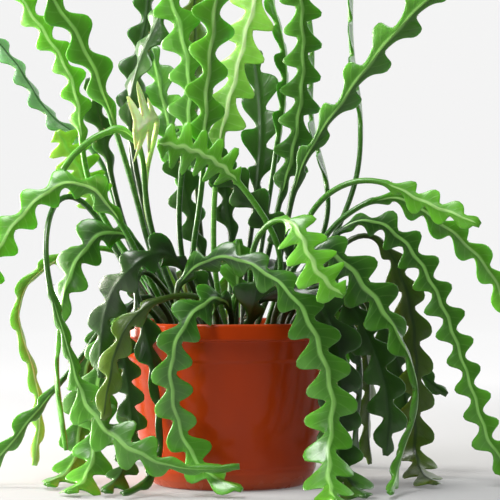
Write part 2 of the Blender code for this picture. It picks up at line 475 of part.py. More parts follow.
def softened(points, passes, fixed):
    """Each inner point moves to a quarter, half, quarter mean of its neighbours and itself."""
    for _ in range(passes):
        mean = points.copy()
        mean[1:-1] = 0.25 * points[:-2] + 0.5 * points[1:-1] + 0.25 * points[2:]
        mean[:fixed] = points[:fixed]
        points = mean
    return points


def spread_roots(stems):
    """Root places pushed apart until every hole has soil round it."""
    roots = np.array([stem["root"] for stem in stems], float)
    least = 2 * HOLE_RADIUS + 1.6
    for _ in range(200):
        away = roots[:, None] - roots[None]
        apart = np.linalg.norm(away, axis=2) + np.eye(len(roots)) * 1e3
        push = np.clip(least - apart, 0, None) / apart
        roots = roots + 0.5 * (away * push[:, :, None]).sum(axis=1)
        radius = np.linalg.norm(roots, axis=1)
        roots *= np.minimum(1.0, 54.0 / radius)[:, None]
    return roots


def first_track(stem, root):
    """The stem's line in real space: out of its hole, through the route, then along the floor."""
    x, y = root
    foot = SOIL_TOP - HOLE_DEPTH + 0.4
    start = np.array([(x, y, foot), (x, y, SOIL_TOP), (x, y, SOIL_TOP + 6)], float)
    seen = np.array(stem["route"], float)
    seen[:, 2] += stem.get("lean", 0) * np.linspace(0.0, 1.0, len(seen)) ** 1.5
    parts = [start, to_real(seen)]
    if "floor" in stem:
        parts.append(np.array([(fx, fy, 3.4) for fx, fy in stem["floor"]], float))
    line = np.concatenate(parts)
    fine = resampled(line, np.arange(0.0, lengths_of(line)[-1], 3.5))
    fine = softened(fine, 12, 6)
    total = lengths_of(fine)[-1]
    count = max(6, int(round(total / STEP)))
    return resampled(fine, np.linspace(0.0, total, count + 1))


def facing(stem, track):
    """Tangent, face normal and width direction at each point of the track."""
    tangent = np.gradient(track, axis=0)
    tangent /= np.linalg.norm(tangent, axis=1)[:, None]
    along = lengths_of(track)
    share = along / along[-1]
    if "wide" in stem:
        turns = np.radians(np.interp(share, *np.array(stem["wide"], float).T))
        wish = np.stack([np.cos(turns), -np.sin(turns), 0 * turns], axis=1)
    else:
        table = np.array(stem["face"], float)
        heading = np.radians(np.interp(share, table[:, 0], table[:, 1]))
        tilt = np.radians(np.interp(share, table[:, 0], table[:, 2]))
        flat = np.cos(tilt)
        wish = np.stack([np.sin(heading) * flat, -np.cos(heading) * flat, np.sin(tilt)], axis=1)
        if "floor" in stem:
            low = np.clip((34.0 - track[:, 2]) / 26.0, 0, 1) * (share > 0.5)
            level = np.clip(1.0 - np.abs(tangent[:, 2]), 0, 1)
            wish[:, 2] += 2.5 * low * level
    wish -= (wish * tangent).sum(axis=1)[:, None] * tangent
    wish = softened(wish, 3, 0)
    wish -= (wish * tangent).sum(axis=1)[:, None] * tangent
    wish /= np.linalg.norm(wish, axis=1)[:, None]
    if "wide" in stem:
        return tangent, np.cross(wish, tangent), wish
    return tangent, wish, np.cross(tangent, wish)


def half_widths(stem, along):
    """Half of the blade's width over its lobes: from the bare stalk it grows, and it narrows at the tip."""
    total = along[-1]
    width = stem["width"]
    if not isinstance(width, list):
        width = [(0, width), (1, width)]
    full = 0.5 * np.interp(along / total, *np.array(width, float).T)
    start = np.clip((along - stem["bare"]) / (1.6 * stem["pitch"]), 0, 1)
    end = np.clip((total - along) / stem.get("tip", 1.1 * stem["pitch"]), 0, 1)
    grown = (start * start * (3 - 2 * start)) * np.sqrt(end)
    return STALK_HALF + np.clip(full - STALK_HALF, 0, None) * grown


def reach(size, frame, way):
    """How far a box with these half sizes along its own axes reaches in a direction."""
    return sum(size[:, k] * np.abs((frame[k] * way).sum(axis=1)) for k in range(3))


def bent_clear(stems, roots):
    """Every stem's track, bent until each stays clear of the others, the pot, the soil and the floor."""
    tracks = [first_track(stem, root) for stem, root in zip(stems, roots)]
    counts = [len(track) for track in tracks]
    ends = np.cumsum(counts)
    starts = ends - counts
    owner = np.repeat(np.arange(len(stems)), counts)
    seen = to_seen(np.concatenate(tracks))
    home = seen.copy()
    loose = np.concatenate([np.clip((lengths_of(t) - 24) / 30, 0, 1) for t in tracks])
    half = np.concatenate([half_widths(s, lengths_of(t)) for s, t in zip(stems, tracks)])
    size = np.stack([np.full(len(half), 0.56 * STEP), np.full(len(half), 2.5), half + 0.3], axis=1)
    far = np.linalg.norm(size, axis=1)
    give = np.array([0.4, 0.4, 1.0])
    for _ in range(ROUNDS):
        real = to_real(seen)
        frame = [np.empty_like(real) for _ in range(3)]
        for stem, a, b in zip(stems, starts, ends):
            for k, axis in enumerate(facing(stem, real[a:b])):
                frame[k][a:b] = axis
        squared = (real**2).sum(axis=1)
        apart = squared[:, None] + squared[None] - 2 * real @ real.T
        near = apart < (far[:, None] + far[None] + CLEAR) ** 2
        near &= owner[:, None] < owner[None]
        i, j = np.nonzero(near)
        away = real[j] - real[i]
        one = [axis[i] for axis in frame]
        two = [axis[j] for axis in frame]
        ways = one[1:] + two[1:] + [away]
        ways += [np.cross(one[a], two[b]) for a, b in ((0, 0), (0, 2), (2, 0), (2, 2))]
        best = np.full(len(i), 1e9)
        push = np.zeros_like(away)
        clear = np.zeros(len(i), bool)
        for way in ways:
            size_of = np.linalg.norm(way, axis=1)
            way = way / np.maximum(size_of, 1e-9)[:, None]
            gone = (way * away).sum(axis=1)
            deep = reach(size[i], one, way) + reach(size[j], two, way) + CLEAR - np.abs(gone)
            usable = size_of > 0.05
            clear |= usable & (deep <= 0)
            cost = deep / (0.3 + 0.7 * np.abs(way[:, 1]))
            better = usable & (cost < best)
            best[better] = cost[better]
            push[better] = (way * (deep * np.sign(gone))[:, None])[better]
        push[clear] = 0
        share = loose[i] + loose[j] + 1e-6
        move = np.zeros_like(real)
        np.add.at(move, i, -push * (loose[i] / share)[:, None])
        np.add.at(move, j, push * (loose[j] / share)[:, None])
        touched = np.zeros(len(real))
        np.add.at(touched, i[~clear], 1.0)
        np.add.at(touched, j[~clear], 1.0)
        move /= np.sqrt(np.maximum(touched, 1.0))[:, None]
        move += clear_of_pot(real, frame, size, loose)
        move = np.clip(move * 0.8, -3.0, 3.0) * give * loose[:, None]
        seen = seen + move[:, [0, 2, 1]]
        for a, b in zip(starts, ends):
            shift = (seen - home)[a:b]
            calm = softened(shift, 2, 4)
            seen[a:b] = home[a:b] + 0.35 * shift + 0.65 * calm
        seen[:, :2] = home[:, :2] + 0.985 * (seen[:, :2] - home[:, :2])
    real = to_real(seen)
    return [real[a:b] for a, b in zip(starts, ends)]


def clear_of_pot(real, frame, size, loose):
    """Moves that lift a track off the soil and the floor, and out of the pot's wall and rim."""
    move = np.zeros_like(real)
    up = np.zeros_like(real)
    up[:, 2] = 1.0
    tall = reach(size, frame, up) + CLEAR
    radius = np.maximum(np.linalg.norm(real[:, :2], axis=1), 1e-6)
    out = np.zeros_like(real)
    out[:, :2] = real[:, :2] / radius[:, None]
    deep_out = reach(size, frame, out)
    outside = wall_radius(real[:, 2]) + deep_out + CLEAR - radius
    above = POT_HEIGHT + tall - real[:, 2]
    inside = radius < 66.0 - deep_out
    sunk = np.where(inside, SOIL_TOP + tall - real[:, 2], 0)
    over = ~inside & (outside > 0) & (above > 0)
    use_out = over & (outside < above) & (radius > 60)
    use_up = over & ~use_out
    move += out * np.where(use_out, outside, 0)[:, None]
    move[:, 2] += np.where(use_up, above, 0)
    move[:, 2] += np.where(inside & (sunk > 0), sunk, 0)
    move[:, 2] += np.clip(tall - real[:, 2], 0, None)
    return move / np.array([1.0, 1.0, 0.4])


# Stem bodies

# Where a lobe's three edge points lie, as (share of the pitch, share of the lobe's height).
OUTLINES = {
    "lobe": [(0.0, 0.0), (0.48, 0.80), (0.78, 1.0)],
    "even": [(0.0, 0.0), (0.42, 0.94), (0.64, 0.86)],
    "knob": [(0.0, 0.0), (0.50, 0.60), (0.74, 1.0)],
    "saw": [(0.0, 0.0), (0.26, 1.0), (0.60, 0.58)],
    "finger": [(0.0, 0.0), (0.52, 1.0), (0.80, 0.96)],
}
LEFT_STATIONS = (0.0, 1 / 3, 2 / 3)


def edge_points(stem, turn):
    """(shift along the rib, share of height) of one edge at the three stations of a pitch.

    The other edge is half a pitch further on, so each of its points takes the nearest station.
    """
    shape = OUTLINES[stem.get("shape", "lobe")]
    if turn == 0:
        return [(at - station, high) for (at, high), station in zip(shape, LEFT_STATIONS)]
    late = [shape[1], shape[2], shape[0]]
    places = [late[0][0] - 0.5, late[1][0] - 0.5, 0.5]
    return [(at - station, high) for at, (_, high), station in zip(places, late, LEFT_STATIONS)]


def stations_of(stem, total):
    """(place along the rib, left edge, right edge): sparse on the bare stalk, three to a pitch above."""
    bare = stem["bare"]
    free = HOLE_DEPTH + 0.8
    stalk = max(1, int(round((bare - free) / 29.0)))
    places = [0.0] + [free + (bare - free) * k / stalk for k in range(stalk)]
    rows = [(place, (0.0, 0.0), (0.0, 0.0)) for place in places]
    pitches = max(2, int(round((total - bare - 3.0) / stem["pitch"])))
    pitch = (total - bare - 3.0) / pitches
    left, right = edge_points(stem, 0), edge_points(stem, 1)
    for k in range(pitches):
        for m, station in enumerate(LEFT_STATIONS):
            place = bare + pitch * (k + station)
            rows.append((place, (left[m][0] * pitch, left[m][1]), (right[m][0] * pitch, right[m][1])))
    rows.append((total, (0.0, 0.0), (0.0, 0.0)))
    return rows


def make_stem(stem, track, collection):
    """A blade lofted through six-sided sections: rib front and back, and a thin edge each side."""
    along = lengths_of(track)
    total = along[-1]
    fine_at = np.linspace(0.0, total, int(total / 2.5) + 1)
    fine = softened(resampled(track, fine_at), 6, 7)
    tangent, normal, wide = facing(stem, fine)
    half = half_widths(stem, fine_at)
    turning = np.gradient(tangent, axis=0) / np.gradient(fine_at)[:, None]
    bend = (turning * wide).sum(axis=1)

    def at(values, place):
        return np.array([np.interp(place, fine_at, values[:, k]) for k in range(3)])

    points = []
    for place, *edges in stations_of(stem, total):
        middle, face = at(fine, place), at(normal, place)
        face /= np.linalg.norm(face)
        ring = []
        for way, (shift, high) in zip((1.0, -1.0), edges):
            spot = min(max(place + shift, 0.0), total)
            width = np.interp(spot, fine_at, half)
            tight = max(way * np.interp(spot, fine_at, bend), 1e-6)
            width = min(width, max(STALK_HALF, 0.62 / tight))
            valley = min(width, max(STALK_HALF, 0.21 * width))
            size = valley + (width - valley) * high
            thick = np.interp(size, [STALK_HALF, STALK_HALF + 3.0], [1.2, EDGE_HALF])
            side, back = at(wide, spot), at(normal, spot)
            edge = at(fine, spot) + side * way * size - back * DROOP * (size - STALK_HALF)
            ring.append((edge + back * thick, edge - back * thick))
        (left_front, left_back), (right_front, right_back) = ring
        rib = RIB_HALF
        if total - place < 0.5:
            rib = 0.9
        points += [left_front, middle + face * rib, right_front]
        points += [right_back, middle - face * rib, left_back]
    faces = []
    rings = len(points) // 6
    for k in range(rings - 1):
        for m in range(6):
            a, b = 6 * k + m, 6 * k + (m + 1) % 6
            c, d = b + 6, a + 6
            if m in (0, 3):
                faces += [(a, b, d), (b, c, d)]
            else:
                faces += [(a, b, c), (a, c, d)]
    last = 6 * (rings - 1)
    faces += [(0, 4, 1), (0, 5, 4), (1, 4, 3), (1, 3, 2)]
    faces += [(last, last + 1, last + 4), (last, last + 4, last + 5)]
    faces += [(last + 1, last + 3, last + 4), (last + 1, last + 2, last + 3)]
    mesh = bpy.data.meshes.new(stem["name"])
    mesh.from_pydata([tuple(p * MM) for p in points], [], [face[::-1] for face in faces])
    mesh.materials.append(skin_of(stem["name"] + "_skin", SKINS[stem["skin"]], 0.38))
    body = bpy.data.objects.new(stem["name"], mesh)
    collection.objects.link(body)
    return body


def main():
    clear_scene()
    cactus = bpy.data.collections.new("potted_fishbone_cactus")
    cutters = bpy.data.collections.new("cutters")
    bpy.context.scene.collection.children.link(cactus)
    bpy.context.scene.collection.children.link(cutters)
    roots = spread_roots(STEMS)
    tracks = bent_clear(STEMS, roots)
    make_pot(cactus)
    make_soil(cactus, cutters, roots)
    for stem, track in zip(STEMS, tracks):
        make_stem(stem, track, cactus)


main()
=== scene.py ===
import json

import bpy
import numpy as np
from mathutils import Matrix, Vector

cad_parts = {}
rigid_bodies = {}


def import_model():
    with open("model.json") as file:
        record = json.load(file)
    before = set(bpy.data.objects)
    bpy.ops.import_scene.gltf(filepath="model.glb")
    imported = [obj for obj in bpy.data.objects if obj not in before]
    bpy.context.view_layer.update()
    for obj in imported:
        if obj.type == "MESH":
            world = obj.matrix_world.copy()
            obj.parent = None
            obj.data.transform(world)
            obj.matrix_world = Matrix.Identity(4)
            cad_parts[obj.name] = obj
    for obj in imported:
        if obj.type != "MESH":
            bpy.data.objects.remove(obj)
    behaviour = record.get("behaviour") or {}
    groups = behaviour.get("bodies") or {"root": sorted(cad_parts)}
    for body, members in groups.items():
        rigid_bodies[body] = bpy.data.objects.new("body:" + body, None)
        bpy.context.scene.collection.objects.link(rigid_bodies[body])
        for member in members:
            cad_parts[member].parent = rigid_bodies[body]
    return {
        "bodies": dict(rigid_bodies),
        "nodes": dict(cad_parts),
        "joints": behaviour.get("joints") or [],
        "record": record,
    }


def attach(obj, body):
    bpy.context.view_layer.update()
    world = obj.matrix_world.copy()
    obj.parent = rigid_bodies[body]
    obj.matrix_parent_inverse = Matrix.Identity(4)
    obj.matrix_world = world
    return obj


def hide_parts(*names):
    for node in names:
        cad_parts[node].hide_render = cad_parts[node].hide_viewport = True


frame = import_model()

# Potted fishbone cactus. X is right, -Y is the front, +Z is up, and the pot stands on z = 0.
# Lengths in the settings are in millimetres unless a note says otherwise, and colours are sRGB.

bpy.context.view_layer.update()
mm = 0.001                                                 # a millimetre in metres


def linear(colour):
    # sRGB to the linear values that a shader takes
    return tuple(((c + 0.055) / 1.055) ** 2.4 if c > 0.04 else c / 12.92 for c in colour) + (1.0,)


# Node helpers

def addNode(tree, kind, inputs=None, **options):
    made = tree.nodes.new(kind)
    for key, value in options.items():
        setattr(made, key, value)
    for key, value in (inputs or {}).items():
        if isinstance(value, bpy.types.NodeSocket):
            tree.links.new(value, made.inputs[key])
        else:
            made.inputs[key].default_value = value
    return made


def mathOf(tree, operation, first, second=0.0):
    return addNode(tree, "ShaderNodeMath", {0: first, 1: second}, operation=operation).outputs[0]


def times(tree, first, second):
    return mathOf(tree, "MULTIPLY", first, second)


def plus(tree, first, second):
    return mathOf(tree, "ADD", first, second)


def ramp(tree, value, low, high, start=0.0, end=1.0):
    # smooth step from start to end while the value goes from low to high
    names = {"Value": value, "From Min": low, "From Max": high, "To Min": start, "To Max": end}
    return addNode(tree, "ShaderNodeMapRange", names, interpolation_type="SMOOTHSTEP").outputs[0]


def blended(tree, factor, first, second, way="MIX"):
    made = addNode(tree, "ShaderNodeMix", {0: factor, 6: first, 7: second}, data_type="RGBA")
    made.blend_type = way
    return made.outputs[2]


def newGroup(name, inputs, outputs):
    group = bpy.data.node_groups.new(name, "ShaderNodeTree")
    for label, kind, value in inputs:
        socket = group.interface.new_socket(name=label, in_out="INPUT", socket_type="NodeSocket" + kind)
        socket.default_value = value
    for label, kind in outputs:
        group.interface.new_socket(name=label, in_out="OUTPUT", socket_type="NodeSocket" + kind)
    return group, group.nodes.new("NodeGroupInput"), group.nodes.new("NodeGroupOutput")


def newMaterial(name, **values):
    material = bpy.data.materials.new(name)
    material.use_nodes = True
    tree = material.node_tree
    shader = tree.nodes["Principled BSDF"]
    for key, value in values.items():
        shader.inputs[key.replace("_", " ")].default_value = value
    return material, tree, shader


# Mesh helpers

def meshOf(name, points, faces, material, shades=None):
    mesh = bpy.data.meshes.new(name)
    mesh.from_pydata((points * mm).tolist(), [], faces)
    mesh.polygons.foreach_set("use_smooth", np.ones(len(mesh.polygons), bool))
    if shades is not None:
        paint = mesh.attributes.new("skinMap", "FLOAT_COLOR", "POINT")
        paint.data.foreach_set("color", shades.astype(np.float32).ravel())
    mesh.materials.append(material)
    made = bpy.data.objects.new(name, mesh)
    bpy.context.scene.collection.objects.link(made)
    return made


def ringFaces(rows, around):
    # quads between neighbouring rings, and a fan to a pole point at each end
    index = np.arange(rows * around).reshape(rows, around)
    after = np.roll(index, -1, axis=1)
    quads = np.stack([index[:-1], after[:-1], after[1:], index[1:]], axis=-1).reshape(-1, 4)
    start = np.full(around, rows * around)
    caps = np.stack([start, after[0], index[0]], axis=-1)
    ends = np.stack([start + 1, index[-1], after[-1]], axis=-1)
    return quads.tolist() + caps.tolist() + ends.tolist()


def ringMesh(name, rings, poles, material, shades=None):
    # closed surface over rings of points; turned over when its volume comes out negative
    rows, around = rings.shape[:2]
    points = np.concatenate([rings.reshape(-1, 3), np.array(poles, float)])
    a, b = rings[:-1], np.roll(rings, -1, axis=1)[:-1]
    c, d = np.roll(rings, -1, axis=1)[1:], rings[1:]
    volume = (np.cross(a, b) * c).sum() + (np.cross(a, c) * d).sum()
    faces = ringFaces(rows, around)
    if volume < 0:
        faces = [face[::-1] for face in faces]
    if shades is not None:
        shades = np.concatenate([shades.reshape(-1, 4), shades[0, :1], shades[-1, :1]])
    return meshOf(name, points, faces, material, shades)


def manyOf(name, points, faces, material):
    # one mesh of many small solids: every row of points gets the same faces
    count, corners = points.shape[:2]
    start = np.arange(count)[:, None] * corners
    every = np.concatenate([start + np.array(face) for face in faces])
    return meshOf(name, points.reshape(-1, 3), every.tolist(), material)


def filleted(profile, cut, steps=5):
    # every corner gives way to a short quadratic curve between two points cut back on its sides
    line = np.array(profile, float)
    before, corner, after = line[:-2], line[1:-1], line[2:]
    back, forth = before - corner, after - corner
    backLength = np.linalg.norm(back, axis=1)[:, None]
    forthLength = np.linalg.norm(forth, axis=1)[:, None]
    start = corner + back / backLength * np.minimum(cut, 0.42 * backLength)
    end = corner + forth / forthLength * np.minimum(cut, 0.42 * forthLength)
    t = np.linspace(0, 1, steps)[None, :, None]
    curve = (1 - t) ** 2 * start[:, None] + 2 * t * (1 - t) * corner[:, None] + t**2 * end[:, None]
    return np.concatenate([line[:1], curve.reshape(-1, 2), line[-1:]])


def turned(name, profile, sides, material):
    # (radius, height) points carried round the axis; the first and last points are the poles
    turn = np.linspace(0, 2 * np.pi, sides, endpoint=False)
    radius, height = profile[1:-1, 0], profile[1:-1, 1]
    level = np.repeat(height[:, None], sides, axis=1)
    rings = np.stack([radius[:, None] * np.cos(turn), radius[:, None] * np.sin(turn), level], axis=-1)
    poles = [(0, 0, profile[0, 1]), (0, 0, profile[-1, 1])]
    return ringMesh(name, rings, poles, material)


# Shared surface effects

def makeMottle():
    # soft blotches and fine grain in object space: a brightness round 1 and a height
    group, given, result = newGroup(
        "mottle",
        [("Blotch Scale", "Float", 40.0), ("Grain Scale", "Float", 900.0), ("Amount", "Float", 0.2)],
        [("Value", "Float"), ("Grain", "Float")])
    place = addNode(group, "ShaderNodeTexCoord").outputs["Object"]
    blotch = addNode(group, "ShaderNodeTexNoise", {"Vector": place, "Scale": given.outputs[0], "Detail": 3.0})
    grain = addNode(group, "ShaderNodeTexNoise", {"Vector": place, "Scale": given.outputs[1], "Detail": 2.0})
    swing = times(group, mathOf(group, "SUBTRACT", blotch.outputs["Fac"], 0.5), 2.0)
    value = plus(group, times(group, swing, given.outputs[2]), 1.0)
    group.links.new(value, result.inputs["Value"])
    group.links.new(grain.outputs["Fac"], result.inputs["Grain"])
    return group


mottleGroup = makeMottle()


def mottled(tree, blotch, grain, amount):
    scales = {"Blotch Scale": blotch, "Grain Scale": grain, "Amount": amount}
    made = addNode(tree, "ShaderNodeGroup", scales, node_tree=mottleGroup)
    return made.outputs["Value"], made.outputs["Grain"]


def bumped(tree, shader, height, strength, distance):
    bump = addNode(tree, "ShaderNodeBump", {"Height": height, "Strength": strength, "Distance": distance})
    tree.links.new(bump.outputs["Normal"], shader.inputs["Normal"])


# Camera

camera = dict(x=0.0133, y=-1.5, z=0.155, lens=162.65)      # metres and millimetres

eye = bpy.data.objects.new("camera", bpy.data.cameras.new("camera"))
bpy.context.scene.collection.objects.link(eye)
eye.location = (camera["x"], camera["y"], camera["z"])
eye.rotation_euler = (np.pi / 2, 0, 0)
eye.data.lens = camera["lens"]
eye.data.sensor_width = 36
eye.data.clip_end = 20
bpy.context.scene.camera = eye
print("camera placed")

# Floor, backdrop and lights

studio = dict(
    floorColour=(0.66, 0.66, 0.66), farColour=(0.30, 0.30, 0.30), frontColour=(0.50, 0.50, 0.50),
    floorGlow=0.13, backdropGlow=0.86, ambient=0.08,
    floorFront=-420, floorBack=2600, bend=900, halfWide=3500, tall=3600,
    # the colours and the glow change between these depths, in metres
    fadeBack=(0.25, 1.1), fadeFront=(-0.10, -0.30), glowRise=(0.1, 1.2),
    lights=[
        # name, place, aim, size in metres, watts, colour
        ("softboxLeft", (-1.40, 0.45, 0.42), (0, 0, 0.10), (0.5, 0.9), 62, (1.0, 0.96, 0.90)),
        ("stripLeft", (-1.20, 0.14, 0.12), (-0.06, 0, 0.06), (0.2, 0.4), 17, (1.0, 0.93, 0.84)),
        ("softboxTop", (-0.50, -0.60, 1.45), (0, 0, 0.18), (0.6, 0.6), 23, (1.0, 1.0, 1.0)),
        ("softboxRight", (1.3, 0.8, 0.8), (0, 0, 0.15), (0.5, 1.0), 7, (0.96, 0.98, 1.0)),
        ("fillFront", (-0.75, -1.8, 0.75), (0, 0, 0.15), (0.25, 0.45), 3.5, (1.0, 1.0, 1.0)),
    ])


def makeStage():
    # a strip of floor that curves up into the backdrop: (depth, height) carried from side to side
    back, radius = studio["floorBack"], studio["bend"]
    bend = np.linspace(0, np.pi / 2, 13)
    curve = np.stack([back + radius * np.sin(bend), radius - radius * np.cos(bend)], axis=1)
    line = np.concatenate([[(studio["floorFront"], 0)], curve, [(back + radius, studio["tall"])]])
    left = np.insert(line, 0, -studio["halfWide"], axis=1)
    right = left * (-1, 1, 1)
    points = np.concatenate([left, right])
    n = len(line)
    faces = [(k, n + k, n + k + 1, k + 1) for k in range(n - 1)]
    material, tree, shader = newMaterial("backdropPaper", Roughness=0.9)
    place = addNode(tree, "ShaderNodeTexCoord").outputs["Object"]
    depth = addNode(tree, "ShaderNodeSeparateXYZ", {0: place}).outputs["Y"]
    paper, far, front = (linear(studio[key]) for key in ("floorColour", "farColour", "frontColour"))
    colour = blended(tree, ramp(tree, depth, *studio["fadeBack"]), paper, far)
    colour = blended(tree, ramp(tree, depth, *studio["fadeFront"]), colour, front)
    tree.links.new(colour, shader.inputs["Base Color"])
    shader.inputs["Emission Color"].default_value = (1, 1, 1, 1)
    glow = ramp(tree, depth, *studio["glowRise"], studio["floorGlow"], studio["backdropGlow"])
    tree.links.new(glow, shader.inputs["Emission Strength"])
    stage = meshOf("stage", points, faces, material)


def makeLights():
    world = bpy.data.worlds.new("studioAir")
    bpy.context.scene.world = world
    world.use_nodes = True
    air = world.node_tree.nodes["Background"]
    air.inputs["Color"].default_value = (1, 1, 1, 1)
    air.inputs["Strength"].default_value = studio["ambient"]
    for name, place, aim, size, watts, colour in studio["lights"]:
        lamp = bpy.data.lights.new(name, "AREA")
        lamp.shape = "RECTANGLE"
        lamp.size, lamp.size_y = size
        lamp.energy = watts
        lamp.color = colour
        holder = bpy.data.objects.new(name, lamp)
        bpy.context.scene.collection.objects.link(holder)
        holder.location = place
        holder.rotation_euler = (Vector(aim) - Vector(place)).to_track_quat("-Z", "Y").to_euler()


makeStage()
makeLights()
bpy.context.scene.view_settings.view_transform = "Standard"
print("stage and lights placed")

# Pot

potLook = dict(
    rimRadius=75.0, rimBand=10.5, height=108.0, sides=160, fillet=1.1,
    colour=(0.71, 0.235, 0.05), deep=(0.60, 0.175, 0.035), dust=(0.80, 0.56, 0.42),
    specular=0.16, coat=0.08, coatRoughness=0.05, roughness=0.15, roughFlow=0.10, roughDust=0.5,
    blotch=22.0, grain=1600.0, mottle=0.07,
    streakScale=(60.0, 60.0, 5.0), streakFrom=(0.3, 0.75), streakMost=0.18,
    relief=(0.12, 0.0002),
    # dust: from one height to another in metres, and its strength at each
    lipDust=(0.1072, 0.1079, 0.0, 0.22), footDust=(0.016, 0.002, 0.0, 0.30))


def makePot():
    top = potLook["height"]
    rim = potLook["rimRadius"]
    under = top - potLook["rimBand"]
    inner = [(0, 2.5), (46, 2.5), (54.6, 11), (68.6, under - 0.5), (69.4, top - 4)]
    edge = [(70.3, top - 0.5), (72.4, top), (74.2, top - 0.1), (rim, top - 1.2)]
    band = [(rim, under + 0.9), (74.6, under), (71.6, under - 0.3)]
    wall = [(71.3, under - 2.0), (69.5, 84.6), (68.6, 83.0), (63.2, 45)]
    wall += [(57.9, 15.0), (57.3, 13.6), (57.0, 11)]
    base = [(54.5, 5.6), (51.0, 1.5), (48.6, 0), (45.0, 0), (43.6, 0.8), (0, 0.8)]
    profile = filleted(inner + edge + band + wall + base, potLook["fillet"])
    material, tree, shader = newMaterial(
        "terracottaPlastic", Coat_Weight=potLook["coat"], Coat_Roughness=potLook["coatRoughness"],
        Specular_IOR_Level=potLook["specular"])
    shade, grain = mottled(tree, potLook["blotch"], potLook["grain"], potLook["mottle"])
    place = addNode(tree, "ShaderNodeTexCoord").outputs["Object"]
    parts = addNode(tree, "ShaderNodeSeparateXYZ", {0: place})
    streak = addNode(tree, "ShaderNodeMapping", {"Vector": place, "Scale": potLook["streakScale"]})
    flow = addNode(tree, "ShaderNodeTexNoise", {"Vector": streak.outputs[0], "Scale": 1.0, "Detail": 3.0})
    streaks = ramp(tree, flow.outputs["Fac"], *potLook["streakFrom"], 0.0, potLook["streakMost"])
    colour = blended(tree, streaks, linear(potLook["colour"]), linear(potLook["deep"]))
    lip, foot = (ramp(tree, parts.outputs["Z"], *potLook[key]) for key in ("lipDust", "footDust"))
    dust = times(tree, mathOf(tree, "MAXIMUM", lip, foot), flow.outputs["Fac"])
    colour = blended(tree, dust, colour, linear(potLook["dust"]))
    colour = blended(tree, 1.0, colour, shade, "MULTIPLY")
    tree.links.new(colour, shader.inputs["Base Color"])
    rough = plus(tree, times(tree, flow.outputs["Fac"], potLook["roughFlow"]), potLook["roughness"])
    tree.links.new(plus(tree, rough, times(tree, dust, potLook["roughDust"])), shader.inputs["Roughness"])
    bumped(tree, shader, grain, *potLook["relief"])
    pot = turned("pot_fine", profile, potLook["sides"], material)
    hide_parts("pot")
    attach(pot, "root")


makePot()
print("pot made")


# Stems: where each one grows

view = dict(across=13.3, away=1500.0, up=155.0)            # the front eye that the routes are given for
soilLook = dict(
    top=98.0, holeDepth=15.0, holeRadius=3.2, lump=0.9, mound=1.6, moundWide=6.0, sink=0.8,
    # rings over the surface, then (radius, height) down the pot's inside
    sides=180, rings=52, inner=1.2, outer=68.2, inside=[(68.3, 95.0), (54.2, 11.0), (45.5, 2.8)],
    # crossed waves: along x, along y, and where they start
    waves=[(0.11, 0.05, 0.3), (-0.07, 0.16, 1.9), (0.23, -0.12, 4.0), (0.31, 0.27, 0.8), (-0.45, 0.33, 2.6)],
    dark=(0.11, 0.075, 0.055), light=(0.30, 0.21, 0.15), grit=(0.62, 0.58, 0.52),
    roughness=0.95, specular=0.2, blotch=160.0, grain=1300.0, mottle=0.5, cells=420.0,
    toneFrom=(0.35, 0.7), gritShare=(0.955, 0.97), gritSize=(0.5, 0.2), cellHeight=0.6, relief=(0.9, 0.0012),
    crumbSeed=7, crumbs=1500, crumbReach=67.0, crumbLift=0.1, crumbSpread=(2.2, 0.26),
    crumbLeast=0.25, crumbMost=1.9, crumbVary=(0.6, 1.3), crumbFlat=0.75)
growth = dict(
    stalkHalf=1.9, step=7.0, clear=0.7, rounds=120,
    # the roots: soil left between two holes, rounds of pushing, and how far from the axis they may be
    rootGap=1.6, rootRounds=200, rootReach=54.0,
    # the first line: gap under the stalk, how far it goes straight up, and how its lean and smoothing work
    footGap=0.4, rise=6, leanPower=1.5, fineStep=3.5, smooth=(12, 6),
    # on the floor: the height of the line, and where and how strongly the blade turns flat
    floorRest=3.4, floorFrom=34.0, floorFade=26.0, floorPull=2.5,
    # the width grows over this many pitches; a stem stays stiff so far from its foot, then loosens
    widen=1.6, stiff=24, loosen=30,
    # the boxes that stand for a stem: length in steps, half depth, and what is added to the half width
    boxLength=0.56, boxDepth=2.5, boxMargin=0.3,
    # the moves: share of each that is kept in x, y and z, what a way without depth in it counts for
    # beside one that is all depth, the pace and the longest move
    give=(0.4, 0.4, 1.0), sideways=0.3, leastCross=0.05, pace=0.8, longest=3.0,
    # calm is how much of the smoothing is taken, and stay draws a stem back to its first line
    calm=0.65, calmPasses=(2, 4), stay=0.985,
    # within insideWall of the axis a stem is over the soil, and beyond rimInside it may go out past the wall
    insideWall=66.0, rimInside=60.0, upShare=0.4)
potOutside = [
    # height, radius
    (0.0, 47.0), (1.5, 50.5), (6.0, 54.5), (11.0, 57.0), (14.5, 57.8), (45.0, 63.2), (78.0, 67.9),
    (83.0, 68.6), (84.5, 69.5), (97.3, 71.6), (97.6, 75.0), (200.0, 75.0)]

# Each stem's root is (x, y) on the soil, and its route is (across, up) as the front eye sees it.
# width is tip to tip across the lobes, pitch is from lobe to lobe, and bare is how far the stem is a stalk.
# depth is how far the route lies behind the pot's axis, and lean adds up to that many millimetres at the tip.
# floor holds (x, y) points that the stem's end trails through on the surface below.
# face is the way the blade faces: 0 is the front and 90 is +X; tilt turns it up or down.
# wide is the heading of the blade's width instead, for a stem that arches back.
# tip is the length over which it narrows at its end.
# depth, face, tilt, wide and width are one number or pairs: depth by the route's point, the others by
# the share of the length.

def stem(root, width, pitch, bare, skin, **more):
    usual = dict(shape="lobe", lean=0, depth=0, face=0, tilt=0, wide=None, floor=None, tip=1.1 * pitch)
    return dict(usual, root=root, width=width, pitch=pitch, bare=bare, skin=skin, **more)


